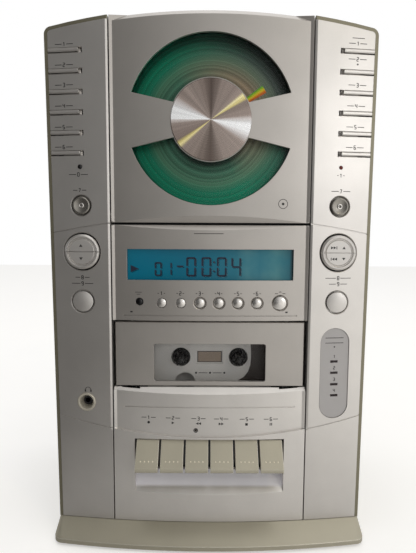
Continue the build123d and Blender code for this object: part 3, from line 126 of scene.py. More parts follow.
class PLAYER_PG_sizes(bpy.types.PropertyGroup):
    """Sizes of the player's fitted details"""
    mark_height: length("Mark height", "Height of a printed figure", 2.4, 1.0, 6.0)
    mark_proud: length("Ink thickness", "How proud the ink stands", 0.05, 0.01, 0.3)
    bump_radius: length("Grip dot", "Radius of a grip dot on a tape key", 0.5, 0.2, 1.0)
    floor_size: length("Floor", "Width of the studio floor", 6000, 2000, 20000)
    key_power: FloatProperty(name="Key light", description="Power of the large soft light", default=1.5,
                             min=0.0, max=200.0, subtype="POWER", unit="POWER")


# Node and material tools

def shade(rgb, level):
    """A colour made lighter or darker."""
    return (*[min(1.0, value * level) for value in tuple(rgb)[:3]], 1.0)


class Nodes:
    """Fills a shader tree. Inputs take a socket, a number, a colour or an sRGB hex colour."""

    def __init__(self, tree):
        self.tree = tree
        tree.nodes.clear()

    def feed(self, node, values):
        """Links or sets a node's inputs."""
        for key, value in values.items():
            if isinstance(value, bpy.types.NodeSocket):
                self.tree.links.new(value, node.inputs[key])
            else:
                node.inputs[key].default_value = linear(value) if isinstance(value, str) else value
        return node

    def add(self, kind, values=None, **properties):
        """Adds a node with its properties and inputs."""
        node = self.tree.nodes.new("ShaderNode" + kind)
        for key, value in properties.items():
            setattr(node, key, value)
        return self.feed(node, values or {})

    def maths(self, operation, *values):
        """Socket with the result of one operation."""
        return self.add("Math", dict(enumerate(values)), operation=operation).outputs[0]

    def ranged(self, value, low, high, new_low=0.0, new_high=1.0):
        """Socket that runs from new_low to new_high while the value runs from low to high."""
        return self.add("MapRange", {"Value": value, "From Min": low, "From Max": high,
                                     "To Min": new_low, "To Max": new_high}).outputs[0]

    def mix(self, factor, first, second, **properties):
        """Colour socket between two colours."""
        return self.add("Mix", {0: factor, 6: first, 7: second}, data_type="RGBA", **properties).outputs[2]

    def level(self, factor, first, second):
        """Number socket between two numbers."""
        return self.add("Mix", {0: factor, 2: first, 3: second}, data_type="FLOAT").outputs[0]

    def ramp(self, factor, stops):
        """Colour socket of a ramp through the stops, each a place and a colour, with the places rising."""
        node = self.add("ValToRGB", {"Fac": factor})
        elements = node.color_ramp.elements
        elements.remove(elements[-1])
        elements[0].position = stops[0][0]
        for place, shown in stops[1:]:
            elements.new(place)
        for element, (place, shown) in zip(elements, stops):
            element.color = linear(shown) if isinstance(shown, str) else shown
        return node.outputs["Color"]

    def axes(self, place):
        """Sockets of a vector's parts, by the names X, Y and Z."""
        return self.add("SeparateXYZ", {"Vector": place}).outputs


class Paint(Nodes):
    """A new material: its Principled shader, and the object's coordinates in place."""

    def __init__(self, name, values):
        self.material = bpy.data.materials.new(name)
        self.material.use_nodes = True
        super().__init__(self.material.node_tree)
        self.shader = self.add("BsdfPrincipled", values)
        self.add("OutputMaterial", {"Surface": self.shader.outputs["BSDF"]})
        self.place = self.add("TexCoord").outputs["Object"]

    def noise(self, size, detail):
        """Noise with cells of that size in millimetres."""
        return self.add("TexNoise", {"Vector": self.place, "Scale": scale_of(size), "Detail": detail}).outputs["Fac"]

    def streaks(self, value, repeats, detail):
        """Noise along one value, with that many cells for each unit of it."""
        along = self.maths("MULTIPLY", value, repeats)
        return self.add("TexNoise", {"W": along, "Scale": 1.0, "Detail": detail}, noise_dimensions="1D").outputs["Fac"]

    def rounded(self, radius):
        """Normal with sharp edges rounded, radius in millimetres."""
        return self.add("Bevel", {"Radius": radius * MM}, samples=4).outputs[0]

    def bump(self, height, strength, normal):
        """Normal with a bump 0.05 mm high."""
        return self.add("Bump", {"Strength": strength, "Distance": 0.05 * MM, "Height": height,
                                 "Normal": normal}).outputs[0]

    def polar(self, x, z):
        """Distance in metres from the axis at (x, z) millimetres and angle from -pi to pi, as two sockets."""
        moved = self.add("VectorMath", {0: self.place, 1: (x * MM, 0.0, z * MM)}, operation="SUBTRACT").outputs[0]
        axes = self.axes(moved)
        flat = self.add("CombineXYZ", {"X": axes["X"], "Y": axes["Z"]}).outputs[0]
        length = self.add("VectorMath", {0: flat}, operation="LENGTH").outputs["Value"]
        return length, self.maths("ARCTAN2", axes["Z"], axes["X"])

    def done(self, values):
        """Feeds the shader and gives the material."""
        self.feed(self.shader, values)
        return self.material


def lacquer(name, rgb, metallic=0.8, roughness=0.34, edge=0.35, worn=0.0, sparkle=0.06):
    """ABS, injection moulded and sprayed with metal-flake lacquer, as a Paint.

    The flakes give a soft sheen with a faint sparkle. Real flakes are about 0.05 mm; they are drawn
    at 0.5 mm so that they show. Cloudiness of the spray coat runs over about 30 mm. worn paints
    the sharp edges paler: a painted highlight, which also stands for wear where hands touch.
    """
    paint = Paint(name, {"Metallic": metallic, "Coat Weight": 0.06, "Coat Roughness": 0.3})
    cloud, flake = paint.noise(30, 3.0), paint.noise(0.5, 1.0)
    spread = paint.ranged(paint.maths("MULTIPLY_ADD", flake, 0.45, cloud), 0.4, 1.05)
    coat = paint.mix(spread, shade(rgb, 0.93), shade(rgb, 1.06))
    rounded = paint.rounded(edge)
    if worn:
        flat = paint.add("NewGeometry").outputs["Normal"]
        turn = paint.add("VectorMath", {0: rounded, 1: flat}, operation="DOT_PRODUCT").outputs["Value"]
        # Painted highlight: the sharp edges are painted paler, which also reads as wear
        coat = paint.mix(paint.ranged(turn, 0.99, 0.86, 0.0, worn), coat, "#FFFBEF")
    paint.done({"Base Color": coat, "Normal": paint.bump(flake, sparkle, rounded),
                "Roughness": paint.ranged(flake, 0.0, 1.0, roughness - 0.05, roughness + 0.06)})
    return paint


def lacquered_abs(*look, **options):
    """The material of a lacquer."""
    return lacquer(*look, **options).material


def moulded_abs(name, rgb, roughness=0.5):
    """ABS, injection moulded in a spark-eroded tool, so it is matt with a fine pebble grain of 0.4 mm."""
    paint = Paint(name, {"Metallic": 0.0, "IOR": 1.52})
    cells = paint.add("TexVoronoi", {"Vector": paint.place, "Scale": scale_of(0.4)}).outputs["Distance"]
    cloud = paint.noise(12, 4.0)
    return paint.done({"Base Color": paint.mix(cloud, shade(rgb, 0.88), shade(rgb, 1.1)),
                       "Roughness": paint.ranged(cloud, 0.0, 1.0, roughness - 0.06, roughness + 0.08),
                       "Normal": paint.bump(cells, 0.15, paint.rounded(0.25))})


def clear_polystyrene(name, hex_colour, alpha):
    """Crystal polystyrene, moulded and polished, so it is glossy and nearly invisible; faint handling haze."""
    paint = Paint(name, {"Metallic": 0.0, "IOR": 1.59, "Alpha": alpha, "Specular IOR Level": 0.5})
    haze, base = paint.noise(18, 5.0), linear(hex_colour)
    return paint.done({"Base Color": paint.mix(haze, shade(base, 0.95), base),
                       "Roughness": paint.ranged(haze, 0.4, 0.8, 0.06, 0.12)})


def printed_ink(name, rgb):
    """Pad-printed ink: a thin matt film whose tone varies a little with its thickness, over about 1.5 mm."""
    paint = Paint(name, {"Metallic": 0.0, "Roughness": 0.55, "IOR": 1.5})
    return paint.done({"Base Color": paint.mix(paint.noise(1.5, 2.0), shade(rgb, 0.8), shade(rgb, 1.3))})


def turned_steel(name, hex_colour="#B4B6B8"):
    """Free-cutting steel, turned: bright, with grooves drawn about 1.2 mm apart across its length."""
    paint = Paint(name, {"Metallic": 1.0, "Base Color": hex_colour})
    grooves = paint.add("TexWave", {"Vector": paint.place, "Scale": scale_of(0.6) / 6.28, "Distortion": 0.4},
                        bands_direction="Y").outputs["Fac"]
    return paint.done({"Roughness": paint.ranged(grooves, 0.0, 1.0, 0.22, 0.36)})


def moulded_rubber(name):
    """Nitrile rubber, moulded: dull black with a faint bloom over about 5 mm."""
    paint = Paint(name, {"Metallic": 0.0, "IOR": 1.52, "Roughness": 0.8})
    return paint.done({"Base Color": paint.mix(paint.noise(5, 4.0), "#141415", "#262628")})


def masked_board(name):
    """Glass-epoxy board with green solder mask; tracks 1.5 mm apart show as paler lines."""
    paint = Paint(name, {"Metallic": 0.0, "IOR": 1.5, "Roughness": 0.35})
    tracks = paint.add("TexBrick", {"Vector": paint.place, "Scale": scale_of(6), "Mortar Size": 0.03,
                                    "Color1": "#1D5A36", "Color2": "#236640", "Mortar": "#6C8A4A"})
    return paint.done({"Base Color": tracks.outputs["Color"]})


def lit_display(name, rgb):
    """Liquid crystal display with an electroluminescent backlight: a teal glow, bluer to the left.

    The pale bands to the right are the room's reflection, drawn, and the rim at the right is in shade.
    """
    paint = Paint(name, {"Metallic": 0.0, "IOR": 1.5, "Roughness": 0.14, "Specular IOR Level": 0.3,
                         "Emission Strength": 0.14})
    across = paint.axes(paint.place)["X"]
    glow = paint.ramp(paint.ranged(across, -GLASS_HALF * MM, GLASS_HALF * MM),
                      ((0.0, shade(rgb, 1.0)), (0.45, "#0B5A76"), (0.66, "#2C6C7C"), (0.72, "#57888C"),
                       (0.8, "#3A7480"), (0.9, "#5A8A88"), (1.0, "#1C4850")))
    clouded = paint.mix(paint.noise(14, 2.0), glow, "#006478")
    edged = paint.mix(paint.ranged(across, *[x * MM for x in GLASS_RIM]), clouded, "#0A2C34")
    return paint.done({"Base Color": edged, "Emission Color": edged})


# Wedges of light on the medallion: degrees from the right, and colour
GLINTS = ((-180, "#D2CBC8"), (-173, "#A3948C"), (-149, "#96867E"), (-145, "#E8D890"), (-141, "#FFF0B0"),
          (-136, "#A3948C"), (-112, "#978980"), (-90, "#62564F"), (-70, "#A0928A"), (-34, "#A89A92"),
          (-25, "#E6E0DE"), (-17, "#FFFFFF"), (-6, "#FFFFFF"), (1, "#D2CBC8"), (7, "#A3948C"), (28, "#978980"),
          (32, "#F4E49A"), (37, "#FFF4BE"), (41, "#A3948C"), (70, "#9A8C84"), (90, "#5A4E48"), (104, "#8C7E76"),
          (120, "#9E9088"), (146, "#A3948C"), (155, "#E6E0DE"), (162, "#FFFFFF"), (174, "#FFFFFF"))


def spun_aluminium(name, x, z):
    """Aluminium face-turned on a lathe: concentric cuts about 0.1 mm apart, drawn at 0.5 mm.

    The cuts stretch each highlight into a wedge that points at the centre. The lamps' wedges are too narrow to
    show in a soft studio, so they are also drawn, white to the sides and warm on one slant.
    """
    paint = Paint(name, {"Metallic": 0.75, "Anisotropic": 0.9, "Anisotropic Rotation": 0.25})
    distance, angle = paint.polar(x, z)
    cut, ray = paint.streaks(distance, scale_of(0.5), 2.0), paint.streaks(angle, 6.0, 4.0)
    glint = paint.ramp(paint.ranged(angle, -math.pi, math.pi),
                       [((degrees + 180) / 360, shown) for degrees, shown in GLINTS])
    lines = paint.maths("MULTIPLY", paint.ranged(ray, 0.3, 0.7, 0.84, 1.14), paint.ranged(cut, 0.3, 0.7, 0.93, 1.05))
    return paint.done({"Base Color": paint.mix(1.0, glint, lines, blend_type="MULTIPLY"),
                       "Roughness": paint.ranged(cut, 0.0, 1.0, 0.22, 0.32),
                       "Tangent": paint.add("Tangent", direction_type="RADIAL", axis="Y").outputs[0]})


def pressed_disc(name, x, z, rgb):
    """Polycarbonate disc with a metal layer under green print: glossy, with circular streaks 0.8 to 3 mm wide.

    The pits are 0.0016 mm apart and split a lamp's light into a rainbow wedge; the wedge is drawn in its colours.
    The print is green to the left, darkened next to the medallion as painted shade. Brown to dark on the right
    is a painted reflection of the dim room, darkest at the rim as the painted shadow of the window's edge.
    """
    paint = Paint(name, {"Metallic": 0.55, "Roughness": 0.32, "Anisotropic": 0.7, "Anisotropic Rotation": 0.25})
    distance, angle = paint.polar(x, z)
    outward = paint.ranged(distance, DISC_LABEL_R * MM, DISC_EDGE_R * MM)
    # Green print, darkened next to the medallion as painted shade
    left = paint.ramp(outward, ((0.0, "#24362E"), (0.2, "#3F6E58"), (0.5, "#4F8064"), (0.68, "#147A5C"),
                                (0.84, shade(rgb, 1.0)), (1.0, "#006B50")))
    # Painted reflection of the dim room, darkest at the rim as the painted shadow of the window's edge
    right = paint.ramp(outward, ((0.0, "#8A7660"), (0.3, "#8C7A62"), (0.6, "#62705C"), (0.82, "#45504A"),
                                 (1.0, "#20201F")))
    side = paint.maths("COSINE", paint.maths("SUBTRACT", angle, 0.55))
    # The print with its painted shade, painted reflection and painted shadow
    printed = paint.mix(paint.ranged(side, -0.1, 1.0), left, right)
    streak = paint.ranged(paint.streaks(distance, scale_of(2.2), 3.0), 0.3, 0.7, 0.9, 1.65)
    streaked = paint.mix(1.0, printed, streak, blend_type="MULTIPLY")
    off = paint.maths("SUBTRACT", angle, math.radians(RAINBOW_ANGLE))
    rainbow = paint.ramp(paint.ranged(off, math.radians(-4), math.radians(4)),
                         ((0.0, "#C8401C"), (0.3, "#F08A18"), (0.5, "#F4D820"), (0.75, "#9CD020"), (1.0, "#2FA040")))
    inside = paint.maths("COMPARE", off, 0.0, math.radians(3.6))
    wedge = paint.maths("MULTIPLY", inside, paint.maths("LESS_THAN", distance, RAINBOW_R * MM))
    return paint.done({"Base Color": paint.mix(wedge, streaked, rainbow)})


def lamp_resin(name, hex_colour):
    """Cast epoxy of an indicator lamp: glossy and translucent, slightly cloudy over 1 mm."""
    paint = Paint(name, {"IOR": 1.53, "Roughness": 0.18, "Specular IOR Level": 0.3})
    base = linear(hex_colour)
    return paint.done({"Base Color": paint.mix(paint.noise(1, 2.0), shade(base, 0.6), shade(base, 1.5))})


# Piece tools

def front_of(node):
    """Finds the front surface of a CAD node: surface(x, z) gives its y, all in millimetres."""
    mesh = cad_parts[node].data
    tree = BVHTree.FromPolygons([vertex.co.copy() for vertex in mesh.vertices],
                                [list(polygon.vertices) for polygon in mesh.polygons])

    def surface(x, z):
        spot = tree.ray_cast(Vector((x * MM, -1.0, z * MM)), Vector((0.0, 1.0, 0.0)))[0]
        if spot is None:
            raise RuntimeError(f"no surface of {node} at {x}, {z}")
        return spot.y / MM

    return surface


def turned_mesh(name, profiles, steps):
    """Turned forms about axes that point to the front, in millimetres.

    Each item is (x, y, z, lean, profile): a profile of (radius, depth behind y), lean the turn about the vertical.
    """
    work = bmesh.new()
    for x, y, z, lean, profile in profiles:
        turn = Matrix.Rotation(lean, 3, "Z")
        rings = []
        for radius, depth in profile:
            ring = []
            for index in range(steps if radius > 0 else 1):
                angle = 2 * math.pi * index / steps
                spot = turn @ Vector((radius * math.cos(angle), depth, radius * math.sin(angle)))
                ring.append(work.verts.new((Vector((x, y, z)) + spot) * MM))
            rings.append(ring)
        for inner, outer in zip(rings, rings[1:]):
            for index in range(steps):
                after = (index + 1) % steps
                if len(inner) == 1:
                    work.faces.new((inner[0], outer[index], outer[after]))
                elif len(outer) == 1:
                    work.faces.new((inner[index], inner[after], outer[0]))
                else:
                    work.faces.new((inner[index], inner[after], outer[after], outer[index]))
    bmesh.ops.recalc_face_normals(work, faces=work.faces)
    mesh = bpy.data.meshes.new(name)
    work.to_mesh(mesh)
    work.free()
    for polygon in mesh.polygons:
        polygon.use_smooth = True
    return mesh


def dome(radius, rise, depth=0.4):
    """Profile of a shallow dome that stands rise proud and reaches depth behind its base."""
    steps = 5
    curve = [(radius * math.sin(math.pi / 2 * index / steps), -rise * math.cos(math.pi / 2 * index / steps))
             for index in range(steps + 1)]
    return curve + [(radius, depth), (0.0, depth)]


def lean_at(x):
    """Turn about the vertical that follows the bow at x."""
    return math.asin(x / BOW_R)


def new_piece(name, mesh, body, slot_name, material):
    """Links a mesh as a piece that rides on a CAD body and takes the material; slot_name is not used."""
    piece = bpy.data.objects.new(name, mesh)
    bpy.context.scene.collection.objects.link(piece)
    mesh.materials.append(material)
    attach(piece, body)


def plate_mesh(name, outlines, surface, proud):
    """Closed thin plates, in millimetres, over outlines of (x, z).

    surface(x, z) gives y, and proud is how far a plate stands in front of it.
    """
    work = bmesh.new()
    for outline in outlines:
        back = [work.verts.new(Vector((x, surface(x, z) + 0.02, z)) * MM) for x, z in outline]
        front = [work.verts.new(Vector((x, surface(x, z) - proud, z)) * MM) for x, z in outline]
        count = len(outline)
        work.faces.new(front)
        work.faces.new(back)
        for index in range(count):
            after = (index + 1) % count
            work.faces.new((back[index], back[after], front[after], front[index]))
    bmesh.ops.recalc_face_normals(work, faces=work.faces)
    mesh = bpy.data.meshes.new(name)
    work.to_mesh(mesh)
    work.free()
    return mesh


def bar(x, z, width, height):
    """Outline of an upright rectangle about (x, z)."""
    return [(x - width / 2, z - height / 2), (x + width / 2, z - height / 2),
            (x + width / 2, z + height / 2), (x - width / 2, z + height / 2)]


def line(x, z, width, height):
    """Outlines of a long level bar in lengths of at most 2.5 mm, so that it follows the bow."""
    count = math.ceil(width / 2.5)
    step = width / count
    return [bar(x - width / 2 + step * (index + 0.5), z, step, height) for index in range(count)]


def arc(x, z, radius, count, start=0.0, turn=2 * math.pi):
    """Points along an arc about (x, z)."""
    angles = [start + turn * step / count for step in range(count + 1)]
    return [(x + radius * math.cos(angle), z + radius * math.sin(angle)) for angle in angles]


def dot(x, z, radius, count=14):
    """Outline of a round dot."""
    return arc(x, z, radius, count)[:-1]


def arrow(x, z, width, height, way=1):
    """Outline of a triangle that points along x; way -1 points left."""
    return [(x - way * width / 2, z - height / 2), (x + way * width / 2, z), (x - way * width / 2, z + height / 2)]


def arrow_up(x, z, width, height, way=1):
    """Outline of a triangle that points up; way -1 points down."""
    return [(x - width / 2, z - way * height / 2), (x + width / 2, z - way * height / 2), (x, z + way * height / 2)]


def stroke(points, width):
    """Outlines of a line with that width through the points."""
    outlines = []
    for (x0, z0), (x1, z1) in zip(points, points[1:]):
        length = math.hypot(x1 - x0, z1 - z0)
        nx, nz = -(z1 - z0) / length * width / 2, (x1 - x0) / length * width / 2
        outlines.append([(x0 + nx, z0 + nz), (x0 - nx, z0 - nz), (x1 - nx, z1 - nz), (x1 + nx, z1 + nz)])
    return outlines


# Lines of each figure, on a grid 1 wide and 2 high
FIGURES = {
    "0": [[(0, 0), (1, 0), (1, 2), (0, 2), (0, 0)]],
    "1": [[(0.2, 1.5), (0.6, 2), (0.6, 0)]],
    "2": [[(0, 2), (1, 2), (1, 1), (0, 1), (0, 0), (1, 0)]],
    "3": [[(0, 2), (1, 2), (1, 0), (0, 0)], [(0.2, 1), (1, 1)]],
    "4": [[(0, 2), (0, 1), (1, 1)], [(1, 2), (1, 0)]],
    "5": [[(1, 2), (0, 2), (0, 1), (1, 1), (1, 0), (0, 0)]],
    "6": [[(1, 2), (0, 2), (0, 0), (1, 0), (1, 1), (0, 1)]],
    "7": [[(0, 2), (1, 2), (0.4, 0)]],
    "8": [[(0, 0), (1, 0), (1, 2), (0, 2), (0, 0)], [(0, 1), (1, 1)]],
    "9": [[(0, 0), (1, 0), (1, 2), (0, 2), (0, 1), (1, 1)]],
}


def figures(text, x, z, height):
    """Outlines of plain numbers centred on (x, z)."""
    width = height * 0.5
    pitch = height * 0.85
    start = x - (pitch * (len(text) - 1) + width) / 2
    outlines = []
    for index, sign in enumerate(text):
        for run in FIGURES[sign]:
            points = [(start + index * pitch + u * width, z + (v - 1) * height / 2) for u, v in run]
            outlines += stroke(points, height * 0.19)
    return outlines


# Lit segments of the display's figures: a is the top one, b to f follow clockwise, g is the middle one
SEGMENTS = {"0": "abcdef", "1": "bc", "4": "fgbc"}


def segment_figure(sign, left, low, width, height, thick):
    """Outlines of a seven-segment figure with small gaps between its segments."""
    high, middle, right = low + height, low + height / 2, left + width
    gap = thick * 0.55
    slots = {
        "a": bar((left + right) / 2, high - thick / 2, width - 2 * gap, thick),
        "d": bar((left + right) / 2, low + thick / 2, width - 2 * gap, thick),
        "g": bar((left + right) / 2, middle, width - 2 * gap, thick),
        "f": bar(left + thick / 2, (middle + high) / 2, thick, height / 2 - 2 * gap),
        "b": bar(right - thick / 2, (middle + high) / 2, thick, height / 2 - 2 * gap),
        "e": bar(left + thick / 2, (middle + low) / 2, thick, height / 2 - 2 * gap),
        "c": bar(right - thick / 2, (middle + low) / 2, thick, height / 2 - 2 * gap),
    }
    return [slots[key] for key in SEGMENTS[sign]]


def finish_nodes(names, material):
    """Gives CAD nodes a material through their objects' slots."""
    for name in names:
        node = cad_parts[name]
        for index in range(len(node.material_slots)):
            node.material_slots[index].link = "OBJECT"
            node.material_slots[index].material = material


def rounded_edges(names, width):
    """Rounds the sharp edges of CAD nodes by a modifier, width in millimetres, so that they catch the light."""
    for name in names:
        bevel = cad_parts[name].modifiers.new("Rounded edges", "BEVEL")
        bevel.width = width * MM
        bevel.segments = 2
        bevel.limit_method = "ANGLE"
        bevel.angle_limit = math.radians(50)
        bevel.use_clamp_overlap = True


def settings():
    """The finish and the size settings."""
    return bpy.context.scene.player_finish, bpy.context.scene.player_sizes


BARS = [f"{side}_bar_{index}" for side in ("left", "right") for index in range(1, 7)]
PRESETS = [f"preset_button_{index}" for index in range(1, 7)]
TAPE_KEYS = ["record_key", "play_key", "rewind_key", "fast_forward_key", "stop_eject_key", "pause_key"]

# Places on the front, in millimetres; pairs are (x, z)
GRIP_Z = 61.2             # height of the tape keys' grip dots
GRIP_X = (-4.2, -1.4, 1.4, 4.2)
SCREWS = [(x, z) for x in (-84.0, 84.0) for z in (60.0, 180.0, 318.0)]
LENS_LAMPS = ((87.2, 129.0), (87.4, 120.9), (87.6, 112.6), (87.8, 104.6))
LEFT_MARKS = ((-97.4, 342.0), (-97.7, 328.8), (-98.0, 315.9), (-98.4, 302.4), (-98.8, 288.6), (-99.1, 275.5))
RIGHT_MARKS = ((96.9, 343.2), (97.0, 333.2), (97.4, 316.6), (97.0, 303.1), (96.9, 289.4), (97.0, 276.0))
PRESET_MARK_X = (-33.4, -20.4, -7.2, 5.8, 19.1, 32.2)
TAPE_MARK_X = (-42.8, -25.6, -7.7, 8.3, 26.3, 43.3)
MICROPHONE = (-9.6, 80.0)
DISC_MARK = (49.0, 238.0)
LINE_HEIGHT = 0.42        # height of the thin lines

# Display figures: sign, left, low, width, height, thickness of a segment
DIGITS = (("0", -38.3, 188.6, 4.8, 9.6, 0.95), ("1", -31.0, 189.0, 4.4, 9.2, 0.8),
          ("0", -16.5, 188.4, 6.6, 13.3, 1.1), ("0", -6.0, 188.4, 6.6, 13.3, 1.1),
          ("0", 4.6, 188.4, 6.6, 13.3, 1.1), ("4", 14.6, 188.4, 6.6, 13.3, 1.1))

# Profiles (radius, depth behind the face) of turned pieces; the screws are on the back, so theirs stands out
SCREW_HEAD = [(0.0, 0.75), (2.2, 0.7), (3.1, 0.35), (3.3, -0.4), (0.0, -0.4)]
SOCKET_RIM = [(5.0, -0.15), (5.9, -0.5), (6.5, -0.3), (6.6, 0.3), (6.2, 0.35), (5.9, 0.4), (4.0, 3.6), (3.5, 3.9),
              (3.3, 3.7), (5.0, -0.15)]
BUTTON_EYE = [(0.9, 0.2), (0.95, -0.25), (1.35, -0.5), (1.8, -0.3), (2.0, 0.3), (0.9, 0.2)]


# Operators

class PLAYER_OT_stage(bpy.types.Operator):
    """Pale floor, soft studio lights and the camera at the photograph's angle"""
    bl_idname = "player.stage"
    bl_label = "Stage"

    def execute(self, context):
        sizes = settings()[1]
        scene = context.scene
        scene.view_settings.view_transform = "Standard"
        half = sizes.floor_size / 2
        mesh = bpy.data.meshes.new("studio_floor")
        mesh.from_pydata([(-half, -half, 0.0), (half, -half, 0.0), (half, half, 0.0), (-half, half, 0.0)], [],
                         [(0, 1, 2, 3)])
        mesh.materials.append(self.floor_board())
        floor = bpy.data.objects.new("studio_floor", mesh)
        scene.collection.objects.link(floor)
        self.world(scene)
        self.lights(scene, sizes)
        data = bpy.data.cameras.new("photograph")
        data.lens, data.clip_start, data.clip_end = CAMERA_LENS, 0.01, 50.0
        camera = bpy.data.objects.new("photograph", data)
        camera.location = [value * MM for value in CAMERA_PLACE]
        camera.rotation_euler = (math.radians(90 - CAMERA_DOWN), math.radians(CAMERA_ROLL), 0.0)
        scene.collection.objects.link(camera)
        scene.camera = camera
        return {"FINISHED"}

    def floor_board(self):
        """White painted board: white to the camera but for its shadows, and dimmer to the left in reflections."""
        paint = Paint("Painted board floor", {"Roughness": 0.95, "IOR": 1.45, "Specular IOR Level": 0.0})
        white = paint.mix(paint.noise(60, 2.0), linear("#EDECEA"), linear("#F0EFED"))
        along = paint.ranged(paint.axes(paint.place)["X"], -0.22, 0.26)
        mirrored = paint.mix(along, linear("#5E5C5A"), linear("#F0EFED"))
        path = paint.add("LightPath").outputs
        lift = paint.maths("MULTIPLY", path["Is Camera Ray"], 0.45)
        glow = paint.maths("MULTIPLY", path["Is Glossy Ray"], along)
        return paint.done({"Base Color": paint.mix(path["Is Glossy Ray"], white, mirrored), "Emission Color": white,
                           "Emission Strength": paint.maths("MULTIPLY_ADD", glow, 0.6, lift)})

    def world(self, scene):
        """White behind the object; a plain studio, dim to the front left and bright to the right, for its light."""
        scene.world = bpy.data.worlds.new("studio")
        scene.world.use_nodes = True
        nodes = Nodes(scene.world.node_tree)
        axes = nodes.axes(nodes.add("TexCoord").outputs["Generated"])
        stops = ((0.0, 0.10), (0.3, 0.10), (0.40, 0.26), (0.5, 0.68), (0.58, 0.98), (0.75, 1.1))
        side = nodes.ramp(nodes.ranged(axes["X"], -1.0, 1.0),
                          [(place, (level, level, level, 1.0)) for place, level in stops])
        studio = nodes.level(nodes.ranged(axes["Y"], 0.1, 0.4), side, 1.0)
        path = nodes.add("LightPath").outputs
        mirrored = nodes.maths("MAXIMUM", path["Is Glossy Ray"], path["Is Transmission Ray"])
        strength = nodes.level(path["Is Camera Ray"], nodes.level(mirrored, 0.6, studio), 1.0)
        back = nodes.add("Background", {"Color": (1.0, 1.0, 1.0, 1.0), "Strength": strength})
        nodes.add("OutputWorld", {"Surface": back.outputs[0]})

    def lights(self, scene, sizes):
        """A large soft key from the right, a weak top light, and a small white and a small warm lamp.

        Each has a name, a place and an aim in metres, a width in metres, a power in watts and a tint.
        """
        white = (1.0, 1.0, 1.0)
        for name, place, aim, width, power, tint in (
                ("key", (1.05, -1.05, 0.5), (0.0, 0.0, 0.25), 0.9, sizes.key_power, (1.0, 0.99, 0.98)),
                ("top", (0.1, 0.1, 1.9), (0.0, 0.0, 0.0), 1.6, 5.0, white),
                ("spot", (0.8, -1.35, 0.6), (0.0, 0.0, 0.29), 0.25, 0.8, white),
                ("warm", (0.75, -0.95, 1.25), (0.0, 0.0, 0.29), 0.1, 0.8, (1.0, 0.86, 0.5))):
            data = bpy.data.lights.new(name, "AREA")
            data.shape = "RECTANGLE"
            data.size = data.size_y = width
            data.energy, data.color = power, tint
            lamp = bpy.data.objects.new(name, data)
            lamp.location = place
            lamp.rotation_euler = (Vector(aim) - Vector(place)).to_track_quat("-Z", "Y").to_euler()
            scene.collection.objects.link(lamp)


class PLAYER_OT_mouldings(bpy.types.Operator):
    """Lacquered front mouldings, shell, base and the plain inner mouldings"""
    bl_idname = "player.mouldings"
    bl_label = "Mouldings"

    def execute(self, context):
        finish = settings()[0]
        finish_nodes(["left_panel", "right_panel"], lacquered_abs("Silver lacquered ABS", finish.silver))
        # The lower panel's silver is 14 % lighter than the side panels': a lit copy of the same lacquer, painted light
        finish_nodes(["lower_panel"], self.painted_scoop_light(lacquer("Silver lacquered ABS with a pale scoop",
                                                           shade(finish.silver, 1.14))))
        finish_nodes(["tuner_panel", "cd_door", "cassette_door"], lacquered_abs("Grey lacquered ABS", finish.column))
        finish_nodes(["rear_shell"], lacquered_abs("Olive lacquered ABS", finish.shell, metallic=0.55,
                                                   roughness=0.42))
        finish_nodes(["base_stand"], lacquered_abs("Champagne lacquered ABS", finish.champagne, metallic=0.6,
                                                   roughness=0.4, edge=0.8, worn=0.6))
        finish_nodes(["front_frame", "cd_chassis", "laser_pickup", "rear_terminals"],
                     moulded_abs("Dark moulded ABS", finish.dark))
        finish_nodes(["main_board"], masked_board("Glass epoxy board"))
        finish_nodes(["rubber_feet"], moulded_rubber("Moulded rubber"))
        return {"FINISHED"}

    def painted_scoop_light(self, paint):
        """Painted light in the scoop under the keys: paler and less metallic where it lies deeper than the face."""
        axes = paint.axes(paint.place)
        inside = paint.maths("MULTIPLY", paint.maths("LESS_THAN", axes["Z"], SCOOP_TOP * MM),
                             paint.ranged(axes["Y"], SCOOP_FACE_Y * MM, (SCOOP_FACE_Y + 1.5) * MM))
        inputs = paint.shader.inputs
        return paint.done({
            "Base Color": paint.mix(inside, inputs["Base Color"].links[0].from_socket, "#F6F3F6"),
            "Metallic": paint.ranged(inside, 0.0, 1.0, inputs["Metallic"].default_value, 0.0)})


